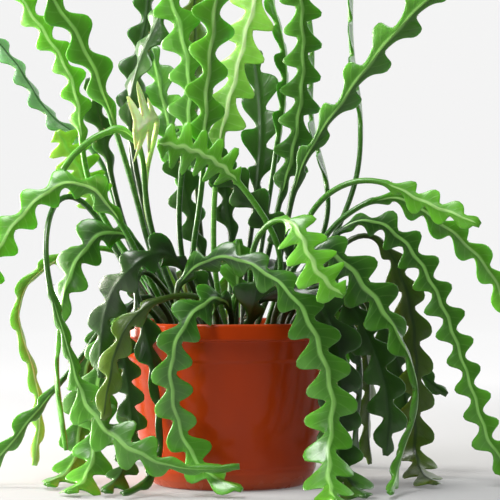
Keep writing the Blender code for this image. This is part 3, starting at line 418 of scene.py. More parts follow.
plant = {}
plant["upright"] = [
    stem((-30, 14), 19, 21, 150, "misty", shape="even", lean=40, face=[(0, 30), (0.4, 50), (1, 40)],
         depth=[(0, 16), (1, 20), (2, 22), (12, 22), (13, 24)], route=[(-46, 122), (-62, 145), (-72, 168),
         (-78, 190), (-83, 210), (-92, 224), (-104, 232), (-116, 239), (-125, 249), (-132, 261),
         (-140, 275), (-151, 289), (-163, 300), (-175, 309)]),
    stem((-28, 2), 23, 20, 160, "bright", shape="even", lean=-25, face=[(0, 0), (1, -10)],
         depth=[(0, 4), (9, 4), (11, 8)], route=[(-42, 120), (-61, 142), (-78, 166), (-88, 184), (-94, 200),
         (-98, 218), (-99, 240), (-101, 258), (-107, 275), (-118, 293), (-132, 312), (-144, 331)]),
    stem((-22, -14), 28, 26, 160, "mid", shape="even", lean=-34, face=[(0, 0), (1, 8)],
         depth=[(0, -18), (1, -22), (2, -24)], route=[(-34, 118), (-46, 134), (-54, 158), (-61, 185),
         (-69, 213), (-77, 238), (-86, 265), (-98, 293), (-115, 318), (-131, 341)]),
    stem((-16, 28), 26, 24, 160, "dark", shape="even", lean=42, face=20, depth=[(0, 32), (2, 28)],
         route=[(-32, 122), (-53, 160), (-64, 200), (-67, 235), (-66, 262), (-61, 283), (-57, 300),
         (-54, 320), (-53, 345)]),
    stem((-18, 8), 27, 22, 150, "dark", shape="even", lean=14,
         face=[(0, 20), (0.6, 10), (0.75, -50), (1, -20)], depth=[(0, 6), (7, 6), (9, 2)],
         route=[(-35, 120), (-47, 142), (-54, 168), (-60, 196), (-65, 222), (-67, 247), (-63, 270),
         (-56, 289), (-49, 302), (-43, 315), (-39, 334)]),
    stem((-12, -6), 34, 24, 122, "mid", shape="even", lean=10, face=[(0, 0), (1, -8)],
         depth=[(0, -8), (2, -12)], route=[(-24, 120), (-31, 142), (-34, 166), (-34, 190), (-31, 215),
         (-27, 240), (-26, 257), (-27, 274), (-30, 292), (-34, 308), (-41, 328), (-46, 342)]),
    stem((-6, 18), 27, 22, 145, "olive", shape="even", lean=34, face=25, depth=[(0, 20), (1, 22)],
         route=[(-14, 125), (-18, 152), (-21, 180), (-23, 210), (-24, 240), (-24, 270), (-24, 300),
         (-25, 336)]),
    stem((-14, -22), 31, 26, 125, "bright", shape="even", lean=-40, face=[(0, 0), (1, 10)],
         depth=[(0, -24), (1, -26)], route=[(-22, 118), (-26, 136), (-25, 155), (-21, 178), (-18, 203),
         (-17, 230), (-16, 252), (-15, 270), (-13, 287), (-11, 305), (-9, 323), (-8, 345)]),
    stem((-2, 2), 37, 25, 128, "pale", shape="saw", lean=26, route=[(-8, 125), (-11, 150), (-11, 180),
         (-9, 210), (-6, 235), (-2, 248), (1, 260), (5, 274), (8, 289), (12, 305), (17, 321), (24, 350)]),
    stem((10, 22), 20, 22, 140, "mid", lean=30, face=60, depth=[(0, 26), (1, 30), (2, 32)],
         route=[(16, 125), (22, 165), (29, 210), (35, 250), (37, 275), (34, 297), (28, 316), (24, 336)]),
    stem((10, -10), 30, 19.5, 104, "mid", shape="saw", lean=-22, face=[(0, 0), (1, 5)], depth=-10,
         route=[(18, 125), (26, 155), (32, 184), (37, 202), (41, 216), (44, 232), (46, 247), (48, 263),
         (49, 281), (48, 303), (47, 323), (45, 352)]),
    stem((22, 16), 22, 22, 118, "mid", lean=34, face=75, depth=[(0, 20), (1, 24), (2, 26)],
         route=[(38, 125), (56, 150), (65, 172), (66, 190), (63, 207), (58, 222), (54, 237), (53, 256),
         (55, 280), (54, 300), (51, 320)]),
    stem((16, -22), [(0, 14), (0.55, 16), (0.68, 26), (1, 26)], 33, 100, "mid", shape="knob", lean=-48,
         depth=-22, route=[(26, 125), (34, 152), (39, 180), (43, 198), (49, 215), (57, 229), (66, 242),
         (75, 254), (83, 266), (91, 277), (100, 288), (110, 300), (121, 312), (132, 322), (149, 338)]),
    stem((28, 4), 18, 24, 165, "mid", lean=58, face=[(0, 70), (1, 78)], depth=[(0, 12), (1, 18), (2, 20)],
         route=[(46, 125), (63, 152), (75, 177), (82, 194), (86, 212), (87, 232), (86, 255), (82, 274),
         (80, 296), (80, 320), (81, 345)]),
    stem((24, -30), [(0, 24), (0.7, 34), (1, 38)], 9.5, 125, "bright", shape="finger",
         depth=[(0, -38), (1, -44), (2, -46)], route=[(33, 130), (35, 152), (27, 171), (18, 184), (9, 197),
         (-1, 208), (-10, 216), (-20, 221), (-32, 225), (-44, 227), (-52, 227)]),
    stem((-20, -24), 56, 11, 175, "young", shape="finger", face=[(0, 80), (1, 75)], depth=[(0, -34),
         (1, -40), (2, -42), (3, -42), (4, -44), (5, -50), (6, -62), (7, -76), (9, -100)],
         route=[(-32, 122), (-46, 150), (-56, 180), (-57, 205), (-51, 226), (-47, 240), (-48, 246),
         (-53, 242), (-59, 237), (-65, 232)]),
    stem((32, -28), 26, 20, 62, "dark", depth=[(0, -30), (1, -34)], route=[(40, 124), (43, 146), (36, 164),
         (25, 177), (13, 189), (1, 201), (-10, 213), (-22, 223), (-35, 230)]),
    stem((-4, 12), 27, 21, 64, "dark", shape="even", face=10, depth=[(0, 14), (1, 16), (4, 16), (6, 12)],
         route=[(-9, 122), (-15, 142), (-22, 162), (-27, 181), (-31, 200), (-34, 220), (-36, 238)]),
    stem((-38, 8), 25, 22, 128, "dark", shape="even", face=[(0, 20), (1, 15)],
         depth=[(0, 14), (1, 18), (2, 20), (4, 20), (6, 16)], route=[(-50, 122), (-63, 150), (-73, 178),
         (-79, 204), (-83, 228), (-88, 250), (-95, 272)]),
    stem((4, 8), 26, 20, 72, "dark", shape="even", face=5, depth=8, route=[(4, 122), (3, 144), (1, 166),
         (-2, 188), (-5, 210), (-7, 228)])]
plant["left"] = [
    stem((-32, -12), 25, 22, 95, "bright", shape="even", lean=-26,
         depth=[(0, -16), (1, -28), (2, -34), (3, -36)], route=[(-47, 122), (-60, 150), (-75, 178),
         (-87, 194), (-99, 202), (-111, 201.5), (-121, 194.5), (-131, 185.5), (-141.5, 174.5), (-149, 164),
         (-156, 153), (-162, 141), (-166, 127), (-168, 112)]),
    stem((-36, -22), [(0, 8), (0.66, 9), (0.72, 30), (0.79, 34), (0.85, 30), (0.91, 9), (1, 6)], 21, 205,
         "mid", tip=16, depth=[(0, -22), (1, -14), (2, -9), (3, -9), (4, -14), (5, -22), (7, -46), (8, -54),
         (9, -58), (10, -60), (12, -60), (17, -70), (21, -86), (22, -88), (24, -90), (27, -90), (29, -88)],
         route=[(-55, 121), (-69, 141), (-81, 166), (-93, 184), (-104, 194), (-113, 192), (-119, 183),
         (-122, 170), (-123, 156), (-122, 144), (-121, 134), (-118, 124), (-115, 114), (-111, 103),
         (-108, 92), (-105, 81), (-102, 70), (-99, 59), (-94, 49), (-87, 40), (-79, 32), (-70, 24.5),
         (-60, 18), (-50, 13.5), (-40, 10.5), (-30, 9), (-20, 8.5), (-10, 9), (0, 10.5), (8, 11.5)]),
    stem((-34, 2), [(0, 30), (0.58, 31), (0.68, 9), (1, 7)], 22, 80, "mid",
         face=[(0, 20), (0.5, 0), (0.62, -30), (0.75, -75), (1, -75)],
         depth=[(0, -4), (1, -12), (2, -18), (3, -22), (6, -28)], route=[(-44, 124), (-54, 150), (-64, 164),
         (-75, 170), (-85, 169), (-93, 162), (-99, 153), (-105, 143), (-109, 132), (-111, 118), (-113, 104),
         (-115, 92), (-116, 80), (-115, 68), (-114, 56), (-112, 44), (-110, 32), (-109, 22)]),
    stem((-26, 26), [(0, 14), (0.6, 12), (1, 11)], 22, 110, "pale", lean=26,
         face=[(0, 60), (0.5, 60), (0.7, 60), (0.85, 25), (1, 10)], depth=[(0, 34), (1, 32), (3, 12),
         (4, 4), (7, -2), (13, -2), (16, -8)], route=[(-40, 125), (-60, 148), (-80, 158), (-98, 157),
         (-112, 151), (-124, 145), (-133, 138), (-140, 128), (-143, 115), (-142, 103), (-138, 94),
         (-134, 84), (-131, 73), (-128, 62), (-126, 48), (-127, 36), (-129, 22), (-130, 10)]),
    stem((-14, -32), 27, 24, 55, "dark", face=[(0, 0), (1, -15)], depth=[(0, -46), (2, -70), (3, -85),
         (4, -91), (5, -89), (6, -78), (7, -72), (8, -68), (9, -66)], route=[(-22, 126), (-31, 145),
         (-42, 154.5), (-54, 152), (-63, 145), (-71, 137), (-78, 128), (-82, 117), (-84, 106), (-85, 94),
         (-86, 83), (-86, 70)]),
    stem((-40, -4), 15, 22, 120, "mid", face=30, depth=[(0, -10), (1, -14), (2, -16)],
         floor=[(-168, -18), (-188, -24), (-204, -34)], route=[(-52, 120), (-66, 122), (-79, 112),
         (-90, 97), (-98, 83), (-108, 72), (-117, 62), (-125, 53), (-133, 43), (-141, 33), (-148, 23),
         (-154, 14)]),
    stem((-38, 10), 30, 22, 70, "mid", depth=[(0, 8), (4, 0), (6, 0), (7, -4)],
         floor=[(-108, -26), (-118, -48)], route=[(-54, 120), (-70, 121), (-83, 107), (-92, 88), (-97, 68),
         (-99, 48), (-100, 30), (-101, 16)]),
    stem((-42, -26), 30, 22, 55, "mid", face=[(0, 0), (1, -5)],
         depth=[(0, -34), (1, -40), (2, -44), (6, -44), (7, -46)], floor=[(-93, -70), (-101, -90)],
         route=[(-52, 118), (-64, 122), (-76, 114), (-83, 98), (-86, 78), (-88, 58), (-89, 38), (-89, 20)]),
    stem((-26, -32), [(0, 8), (0.6, 12), (0.74, 11), (0.82, 5), (1, 4.5)], 18, 138, "mid", depth=[(0, -42),
         (1, -50), (2, -54), (3, -56), (5, -58), (6, -58), (7, -60)], route=[(-36, 122), (-45, 145),
         (-53, 170), (-57, 195), (-57, 218), (-64, 235), (-76, 239), (-89, 230), (-101, 223), (-107, 217),
         (-111, 208)]),
    stem((-40, 18), 34, 11, 108, "shoot", shape="finger", depth=[(0, 28), (1, 24), (3, 12), (4, 8), (5, 6)],
         route=[(-56, 135), (-73, 160), (-88, 182), (-96, 202), (-103, 216), (-111, 228), (-116, 236)])]
plant["front"] = [
    stem((-23, -43), [(0, 18), (0.3, 22), (0.48, 27), (0.6, 37), (1, 34)], 20.5, 50, "mid", depth=[(0, -49),
         (1, -53), (3, -59), (4, -60), (10, -84), (12, -88), (19, -88), (20, -90)],
         floor=[(62, -118), (65, -140)], route=[(-31, 112), (-38, 119), (-39, 128), (-34, 136), (-26, 143),
         (-17, 149), (-6, 152), (5, 150.5), (16, 145), (27.5, 138), (38, 129.5), (46, 119.5), (53, 108.5),
         (57.5, 97), (61, 86), (65, 75), (67, 65), (69, 55), (69, 45), (67, 34), (65, 24)]),
    stem((6, -42), 34, 24, 40, "dark", depth=[(0, -50), (2, -66), (3, -70), (4, -72), (8, -72), (9, -74)],
         floor=[(76, -98), (84, -120)], route=[(16, 122), (34, 130), (52, 124), (63, 114), (69, 102),
         (72, 88), (73, 72), (73, 54), (72, 36), (71, 20)]),
    stem((14, -36), 34, 13, 112, "bright", shape="finger", depth=[(0, -44), (1, -54), (2, -66), (3, -76),
         (4, -84), (6, -96), (7, -100), (8, -103), (9, -105), (10, -106)], route=[(14, 122), (13, 145),
         (17, 165), (27, 175), (37, 179), (44, 174), (47.5, 165), (50, 157), (53, 149), (57, 141),
         (61, 134), (66, 130), (72, 126.5), (79, 123)]),
    stem((2, -36), 28, 22, 35, "mid", depth=[(0, -52), (1, -63), (2, -76), (3, -86), (4, -92), (5, -92),
         (7, -88), (9, -82), (10, -78), (11, -76)], floor=[(-10, -84), (10, -92)], route=[(2, 119),
         (-5, 125), (-13, 123), (-21, 117), (-29, 109), (-35, 98), (-38.5, 87), (-40, 74), (-39.5, 62),
         (-37, 50), (-34, 38), (-31, 26)]),
    stem((-8, -40), [(0, 9), (0.45, 10), (0.6, 20), (1, 20)], 22, 75, "olive", depth=[(0, -46), (1, -53),
         (2, -62), (3, -70), (4, -76), (5, -80), (6, -82), (8, -82), (10, -80), (11, -80), (13, -82)],
         route=[(-7, 119), (-15, 123.5), (-25, 125.5), (-35, 126), (-46, 123.5), (-56, 119), (-64, 112.5),
         (-70, 104), (-74.5, 95), (-77, 84), (-79, 73), (-81, 62), (-83, 50), (-84, 40)]),
    stem((-24, -18), [(0, 26), (0.5, 26), (0.7, 12), (1, 9)], 24, 97, "dark",
         face=[(0, 0), (0.5, 0), (0.65, 60), (0.85, 75), (1, 60)], depth=[(0, -28), (2, -48), (3, -56),
         (4, -60), (6, -66), (7, -68), (10, -68), (12, -66)], floor=[(-54, -86), (-68, -104)],
         route=[(-38, 122), (-50, 137), (-58, 145), (-63, 142), (-64, 133), (-62, 121), (-59, 108),
         (-54, 93), (-52, 80), (-50, 67), (-48, 54), (-47, 42), (-46, 29), (-45, 18)]),
    stem((-36, -28), 20, 17, 60, "dark", depth=[(0, -34), (1, -41), (2, -46), (8, -46), (9, -48)],
         floor=[(-71, -72), (-79, -92)], route=[(-43, 119), (-52, 127), (-62, 126), (-70, 114), (-71, 98),
         (-69, 82), (-67, 66), (-65, 50), (-64, 34), (-65, 20)]),
    stem((11, -48), 36, 24, 17, "dark", face=[(0, 0), (1, 10)], depth=[(0, -55), (1, -59), (2, -61)],
         route=[(13, 112), (16, 123), (19, 136), (24, 149)]),
    stem((-4, -24), 31, 20, 32, "dark", depth=[(0, -28), (1, -30), (2, -31)],
         route=[(-8, 113), (-15, 124), (-22, 134), (-28, 144)]),
    stem((0, -12), 30, 20, 32, "mid", face=5, depth=[(0, -16), (2, -20)],
         route=[(2, 114), (5, 130), (7, 147), (6, 163)])]
plant["right"] = [
    stem((26, -12), [(0, 8), (0.62, 9), (0.74, 25), (0.9, 23), (1, 19)], 19, 155, "bright", lean=-30,
         depth=[(0, -22), (1, -30), (2, -34), (3, -36)], route=[(34, 122), (40, 148), (48, 171), (57, 186),
         (68, 196), (80, 201), (93, 203), (105, 200), (116, 194), (127, 187), (137, 183), (147, 180),
         (158, 176), (167, 171)]),
    stem((32, 16), [(0, 14), (0.5, 16), (0.65, 24), (1, 22)], 24, 120, "bright", lean=36,
         face=[(0, 20), (0.4, 40), (0.5, 60), (0.62, 10), (1, 0)], depth=[(0, 16), (1, 16), (3, 12)],
         route=[(44, 124), (56, 152), (70, 173), (85, 184), (101, 191), (114, 190.5), (125, 184),
         (135, 175), (143.5, 170.5), (152, 163.5), (160, 155.5), (168, 147), (175.5, 137.5), (181, 124),
         (184, 108)]),
    stem((36, -4), [(0, 18), (0.3, 20), (0.42, 28), (0.62, 28), (0.72, 22), (0.8, 26), (1, 22)], 18, 90,
         "mid", shape="even", lean=-14, tilt=[(0, 0), (0.18, 30), (0.3, 40), (0.4, 0), (1, 0)],
         depth=[(0, -10), (1, -16), (2, -18)], floor=[(190, -24), (206, -34)], route=[(46, 124), (58, 150),
         (70, 167), (81, 174), (90, 177), (99, 175), (106.5, 170), (114, 163), (121, 155), (127.5, 146),
         (132.5, 136), (137, 127), (141.5, 118), (146, 106.5), (150, 94), (154, 82), (158, 71), (161, 61),
         (164, 51), (167, 41), (170, 30), (175, 18)]),
    stem((38, 8), 28, 24, 106, "olive", lean=14, tilt=[(0, 0), (0.2, 28), (0.36, 28), (0.46, 0), (1, 0)],
         depth=[(0, 8), (1, 10), (13, 10), (14, 8)], floor=[(127, -16), (134, -38)], route=[(50, 124),
         (64, 148), (79, 164), (93, 169), (102, 161), (108, 150), (114, 139), (117.5, 128), (120, 115),
         (122.5, 100), (123.5, 82), (124, 64), (123, 46), (122, 30), (123, 17)]),
    stem((26, -34), [(0, 34), (0.5, 36), (0.64, 14), (0.75, 10), (1, 10)], 22, 70, "mid",
         face=[(0, 0), (0.45, 0), (0.6, 55), (0.75, 72), (1, 60)], depth=[(0, -42), (1, -50), (2, -54),
         (3, -56), (16, -56), (17, -58)], floor=[(103, -82), (99, -102)], route=[(33, 124), (42, 145),
         (53, 157), (64, 158), (73, 151), (80, 143), (87, 134), (94.5, 125), (102, 115), (107.5, 105),
         (113, 94.5), (118, 84), (122, 74), (124, 62), (124.5, 51), (121.5, 41), (117, 31), (112, 20)]),
    stem((30, -22), 30, 22, 60, "dark", face=[(0, 0), (1, 10)],
         depth=[(0, -28), (1, -34), (2, -38), (3, -40)], route=[(42, 121), (56, 133), (69, 133), (79, 123),
         (87, 108), (94, 92), (100, 78), (104, 63), (106, 47), (105, 31), (103, 17)]),
    stem((40, 22), 24, 22, 80, "dark", face=20, depth=[(0, 26), (1, 30), (2, 32)], route=[(54, 122),
         (72, 134), (88, 126), (99, 110), (107, 94), (111, 80), (114, 64), (117, 50), (120, 38)]),
    stem((38, -14), 20, 20, 65, "dark", face=[(0, 0), (0.4, 0), (0.6, 60), (1, 75)],
         depth=[(0, -18), (1, -20)], route=[(48, 118), (62, 125), (74, 118), (81, 102), (85, 84), (87, 66),
         (85, 50), (82, 37), (84, 24), (85, 12)]),
    stem((28, 30), 24, 22, 80, "olive", face=[(0, 10), (0.4, 10), (0.6, 45), (1, 55)],
         depth=[(0, 36), (1, 46), (2, 52), (3, 54)], route=[(44, 120), (62, 133), (77, 124), (86, 104),
         (90, 84), (92, 66), (91, 50), (90, 36), (91, 22), (93, 12)]),
    stem((38, 32), 18, 20, 100, "dark", face=20, depth=[(0, 50), (1, 60), (2, 62)], route=[(56, 122),
         (78, 128), (98, 108), (115, 86), (130, 68), (147, 57)])]
plant["back"] = [
    stem((-24, 36), 30, 29, 55, "dark", wide=[(0, 15), (1, 10)], depth=[(0, 46), (1, 64), (2, 84), (3, 101),
         (4, 110), (5, 113), (6, 114), (7, 114), (8, 116)], floor=[(-66, 134), (-70, 154)],
         route=[(-30, 122), (-38, 140), (-47, 147), (-54, 138), (-58, 118), (-60, 95), (-61, 70), (-62, 45),
         (-63, 22)]),
    stem((-12, 42), 32, 29, 55, "mid", wide=[(0, 8), (1, 8)], depth=[(0, 54), (1, 72), (2, 92), (3, 107),
         (4, 115), (5, 117)], route=[(-15, 122), (-18, 143), (-24, 150), (-29, 140), (-32, 120), (-34, 96),
         (-35, 70), (-36, 46)]),
    stem((0, 36), 30, 29, 55, "bright", wide=[(0, 0), (1, 0)], depth=[(0, 46), (1, 62), (3, 106), (4, 120),
         (5, 124), (7, 124), (8, 126)], floor=[(-2, 142), (-5, 164)], route=[(0, 126), (1, 150), (2, 160),
         (2, 153), (1, 132), (0, 106), (-1, 78), (-2, 50), (-2, 24)]),
    stem((13, 42), 30, 29, 55, "dark", wide=[(0, -10), (1, -10)], depth=[(0, 54), (1, 70), (2, 90),
         (3, 105), (4, 112), (5, 114)], route=[(17, 122), (22, 143), (28, 151), (33, 142), (36, 121),
         (38, 97), (39, 72), (40, 50)]),
    stem((24, 38), 28, 29, 60, "mid", wide=[(0, -20), (1, -15)], depth=[(0, 50), (2, 86), (3, 100),
         (4, 107), (5, 109), (6, 110), (7, 110), (8, 111)], floor=[(72, 128), (77, 148)], route=[(33, 121),
         (43, 137), (53, 144), (61, 136), (65, 117), (67, 94), (68, 70), (68, 44), (69, 22)]),
    stem((-10, 30), 30, 26, 110, "mid", face=[(0, 160), (1, 170)],
         depth=[(0, 38), (3, 74), (4, 84), (5, 92)], route=[(-15, 125), (-21, 160), (-29, 195), (-38, 230),
         (-46, 262), (-52, 292)]),
    stem((8, 31), 32, 26, 110, "dark", face=[(0, 190), (1, 185)],
         depth=[(0, 38), (3, 74), (4, 84), (5, 92)], route=[(9, 125), (13, 160), (18, 195), (21, 228),
         (20, 258), (15, 290)])]
stems = []
for side, rows in plant.items():
    stems += [dict(row, name=f"stem_{side}_{k:02d}") for k, row in enumerate(rows, 1)]


# Stem routes

def spread(value, at):
    # one number everywhere, or (place, number) pairs read off between their places
    if not isinstance(value, list):
        return np.full(len(at), float(value))
    return np.interp(at, *np.array(value, float).T)


def toReal(seen):
    # points (across, up, depth) as the front eye sees them, to real x, y, z: they spread from the eye's
    # own line as they lie deeper
    grow = (view["away"] + seen[:, 2]) / view["away"]
    x = view["across"] + (seen[:, 0] - view["across"]) * grow
    z = view["up"] + (seen[:, 1] - view["up"]) * grow
    return np.stack([x, seen[:, 2], z], axis=1)


def toSeen(real):
    grow = (view["away"] + real[:, 1]) / view["away"]
    across = view["across"] + (real[:, 0] - view["across"]) / grow
    up = view["up"] + (real[:, 2] - view["up"]) / grow
    return np.stack([across, up, real[:, 1]], axis=1)


def lengthsOf(points):
    return np.concatenate([[0.0], np.cumsum(np.linalg.norm(np.diff(points, axis=0), axis=1))])


def resampled(points, at):
    along = lengthsOf(points)
    return np.stack([np.interp(at, along, points[:, k]) for k in range(3)], axis=1)


def softened(points, passes, fixed):
    # each inner point moves to a quarter, half, quarter mean of its neighbours and itself
    for _ in range(passes):
        mean = points.copy()
        mean[1:-1] = 0.25 * points[:-2] + 0.5 * points[1:-1] + 0.25 * points[2:]
        mean[:fixed] = points[:fixed]
        points = mean
    return points


def spreadRoots(stems):
    # root places pushed apart, each of two by half of what they lack, until every hole has soil round it
    roots = np.array([stem["root"] for stem in stems], float)
    least = 2 * soilLook["holeRadius"] + growth["rootGap"]
    for _ in range(growth["rootRounds"]):
        away = roots[:, None] - roots[None]
        apart = np.linalg.norm(away, axis=2) + np.eye(len(roots)) * 1e3
        push = np.clip(least - apart, 0, None) / apart
        roots = roots + 0.5 * (away * push[:, :, None]).sum(axis=1)
        radius = np.linalg.norm(roots, axis=1)
        roots *= np.minimum(1.0, growth["rootReach"] / radius)[:, None]
    return roots


def firstTrack(stem, root):
    # the stem's line in real space: out of its hole, through the route, then along the floor
    top = soilLook["top"]
    foot = top - soilLook["holeDepth"] + growth["footGap"]
    start = np.array([(*root, z) for z in (foot, top, top + growth["rise"])], float)
    flat = np.array(stem["route"], float)
    depth = spread(stem["depth"], np.arange(len(flat)))
    depth += stem["lean"] * np.linspace(0.0, 1.0, len(flat)) ** growth["leanPower"]
    parts = [start, toReal(np.column_stack([flat, depth]))]
    if stem["floor"]:
        parts.append(np.array([(x, y, growth["floorRest"]) for x, y in stem["floor"]], float))
    line = np.concatenate(parts)
    fine = resampled(line, np.arange(0.0, lengthsOf(line)[-1], growth["fineStep"]))
    fine = softened(fine, *growth["smooth"])
    total = lengthsOf(fine)[-1]
    count = max(6, int(round(total / growth["step"])))
    return resampled(fine, np.linspace(0.0, total, count + 1))


def facing(stem, track):
    # tangent, face normal and width direction at each point of the track: the direction that the stem's
    # row asks for, less its part along the tangent, and smoothed
    tangent = np.gradient(track, axis=0)
    tangent /= np.linalg.norm(tangent, axis=1)[:, None]
    along = lengthsOf(track)
    share = along / along[-1]
    if stem["wide"]:
        turns = np.radians(spread(stem["wide"], share))
        wish = np.stack([np.cos(turns), -np.sin(turns), 0 * turns], axis=1)
    else:
        heading = np.radians(spread(stem["face"], share))
        tilt = np.radians(spread(stem["tilt"], share))
        flat = np.cos(tilt)
        wish = np.stack([np.sin(heading) * flat, -np.cos(heading) * flat, np.sin(tilt)], axis=1)
        if stem["floor"]:
            low = np.clip((growth["floorFrom"] - track[:, 2]) / growth["floorFade"], 0, 1) * (share > 0.5)
            level = np.clip(1.0 - np.abs(tangent[:, 2]), 0, 1)
            wish[:, 2] += growth["floorPull"] * low * level
    wish -= (wish * tangent).sum(axis=1)[:, None] * tangent
    wish = softened(wish, 3, 0)
    wish -= (wish * tangent).sum(axis=1)[:, None] * tangent
    wish /= np.linalg.norm(wish, axis=1)[:, None]
    if stem["wide"]:
        return tangent, np.cross(wish, tangent), wish
    return tangent, wish, np.cross(tangent, wish)


def halfWidths(stem, along):
    # half of the blade's width over its lobes: a smooth step up from the bare stalk, and at the end the
    # square root of what is left of the tip
    total = along[-1]
    full = 0.5 * spread(stem["width"], along / total)
    start = np.clip((along - stem["bare"]) / (growth["widen"] * stem["pitch"]), 0, 1)
    end = np.clip((total - along) / stem["tip"], 0, 1)
    grown = (start * start * (3 - 2 * start)) * np.sqrt(end)
    return growth["stalkHalf"] + np.clip(full - growth["stalkHalf"], 0, None) * grown


def boxReach(size, frame, way):
    # how far a box with these half sizes along its own axes reaches in a direction
    return sum(size[:, k] * np.abs((frame[k] * way).sum(axis=1)) for k in range(3))


def pushedApart(real, frame, size, owner, loose):
    # moves for boxes of two stems that come too close. Each pair is tried along both boxes' face and width
    # directions, the line between their middles and four cross products. Where every one of them finds an
    # overlap, the pair goes apart along the one that costs least, where depth is cheap, and the looser
    # box goes by more.
    far = np.linalg.norm(size, axis=1)
    squared = (real**2).sum(axis=1)
    apart = squared[:, None] + squared[None] - 2 * real @ real.T
    near = apart < (far[:, None] + far[None] + growth["clear"]) ** 2
    near &= owner[:, None] < owner[None]
    i, j = np.nonzero(near)
    away = real[j] - real[i]
    one = [axis[i] for axis in frame]
    two = [axis[j] for axis in frame]
    ways = one[1:] + two[1:] + [away]
    ways += [np.cross(one[a], two[b]) for a, b in ((0, 0), (0, 2), (2, 0), (2, 2))]
    best = np.full(len(i), np.inf)
    push = np.zeros_like(away)
    clear = np.zeros(len(i), bool)
    for way in ways:
        sizeOf = np.linalg.norm(way, axis=1)
        way = way / np.maximum(sizeOf, 1e-9)[:, None]
        gone = (way * away).sum(axis=1)
        both = boxReach(size[i], one, way) + boxReach(size[j], two, way)
        deep = both + growth["clear"] - np.abs(gone)
        usable = sizeOf > growth["leastCross"]
        clear |= usable & (deep <= 0)
        cost = deep / (growth["sideways"] + (1 - growth["sideways"]) * np.abs(way[:, 1]))
        better = usable & (cost < best)
        best[better] = cost[better]
        push[better] = (way * (deep * np.sign(gone))[:, None])[better]
    push[clear] = 0
    share = loose[i] + loose[j] + 1e-6
    move = np.zeros_like(real)
    np.add.at(move, i, -push * (loose[i] / share)[:, None])
    np.add.at(move, j, push * (loose[j] / share)[:, None])
    touched = np.zeros(len(real))
    np.add.at(touched, i[~clear], 1.0)
    np.add.at(touched, j[~clear], 1.0)
    return move / np.sqrt(np.maximum(touched, 1.0))[:, None]


def bentClear(stems, roots):
    # every stem's track, bent until each stays clear of the others, the pot, the soil and the floor:
    # in each round the moves are scaled, cut short and smoothed along the stem
    tracks = [firstTrack(stem, root) for stem, root in zip(stems, roots)]
    counts = [len(track) for track in tracks]
    ends = np.cumsum(counts)
    starts = ends - counts
    owner = np.repeat(np.arange(len(stems)), counts)
    seen = toSeen(np.concatenate(tracks))
    home = seen.copy()
    stiff, loosen = growth["stiff"], growth["loosen"]
    loose = np.concatenate([np.clip((lengthsOf(t) - stiff) / loosen, 0, 1) for t in tracks])
    half = np.concatenate([halfWidths(s, lengthsOf(t)) for s, t in zip(stems, tracks)])
    size = np.empty((len(half), 3))
    size[:, 0] = growth["boxLength"] * growth["step"]
    size[:, 1] = growth["boxDepth"]
    size[:, 2] = half + growth["boxMargin"]
    calm, longest = growth["calm"], growth["longest"]
    for _ in range(growth["rounds"]):
        real = toReal(seen)
        frame = [np.empty_like(real) for _ in range(3)]
        for stem, a, b in zip(stems, starts, ends):
            for k, axis in enumerate(facing(stem, real[a:b])):
                frame[k][a:b] = axis
        move = pushedApart(real, frame, size, owner, loose) + clearOfPot(real, frame, size)
        move = np.clip(move * growth["pace"], -longest, longest) * growth["give"] * loose[:, None]
        seen = seen + move[:, [0, 2, 1]]
        for a, b in zip(starts, ends):
            shift = (seen - home)[a:b]
            seen[a:b] = home[a:b] + (1 - calm) * shift + calm * softened(shift, *growth["calmPasses"])
        seen[:, :2] = home[:, :2] + growth["stay"] * (seen[:, :2] - home[:, :2])
    real = toReal(seen)
    return [real[a:b] for a, b in zip(starts, ends)]


def clearOfPot(real, frame, size):
    # moves that lift a track off the soil and the floor, and out of the pot's wall or over its rim,
    # whichever is nearer; the upward part is made larger by upShare
    move = np.zeros_like(real)
    up = np.zeros_like(real)
    up[:, 2] = 1.0
    tall = boxReach(size, frame, up) + growth["clear"]
    radius = np.maximum(np.linalg.norm(real[:, :2], axis=1), 1e-6)
    out = np.zeros_like(real)
    out[:, :2] = real[:, :2] / radius[:, None]
    deepOut = boxReach(size, frame, out)
    outside = spread(potOutside, real[:, 2]) + deepOut + growth["clear"] - radius
    above = potLook["height"] + tall - real[:, 2]
    inside = radius < growth["insideWall"] - deepOut
    sunk = np.where(inside, soilLook["top"] + tall - real[:, 2], 0)
    over = ~inside & (outside > 0) & (above > 0)
    useOut = over & (outside < above) & (radius > growth["rimInside"])
    useUp = over & ~useOut
    move += out * np.where(useOut, outside, 0)[:, None]
    move[:, 2] += np.where(useUp, above, 0)
    move[:, 2] += np.where(inside & (sunk > 0), sunk, 0)
    move[:, 2] += np.clip(tall - real[:, 2], 0, None)
    return move / np.array([1.0, 1.0, growth["upShare"]])


# Stems: their skin

# bright and pale are partly these stems' own lighter green and partly painted light: the green is made
# lighter to stand in for light shining through thin back-lit blades, pale the most. The light rib colours of
# mid, bright, pale, young and shoot are partly the rib's own lighter green and partly a painted highlight
# along the raised rib.
skins = dict(
    dark=dict(old=(0.09, 0.19, 0.035), fresh=(0.20, 0.39, 0.08), rib=(0.13, 0.28, 0.05)),
    mid=dict(old=(0.12, 0.30, 0.045), fresh=(0.35, 0.63, 0.15), rib=(0.57, 0.80, 0.40)),
    bright=dict(old=(0.19, 0.43, 0.06), fresh=(0.44, 0.76, 0.17), rib=(0.70, 0.90, 0.52)),
    pale=dict(old=(0.32, 0.59, 0.13), fresh=(0.65, 0.88, 0.36), rib=(0.86, 0.95, 0.70)),
    misty=dict(old=(0.22, 0.43, 0.18), fresh=(0.48, 0.70, 0.44), rib=(0.11, 0.30, 0.06)),
    olive=dict(old=(0.17, 0.27, 0.03), fresh=(0.35, 0.47, 0.09), rib=(0.14, 0.25, 0.04)),
    young=dict(old=(0.58, 0.78, 0.24), fresh=(0.93, 0.97, 0.68), rib=(0.92, 0.97, 0.74)),
    shoot=dict(old=(0.20, 0.50, 0.07), fresh=(0.60, 0.82, 0.22), rib=(0.50, 0.78, 0.26)),
)
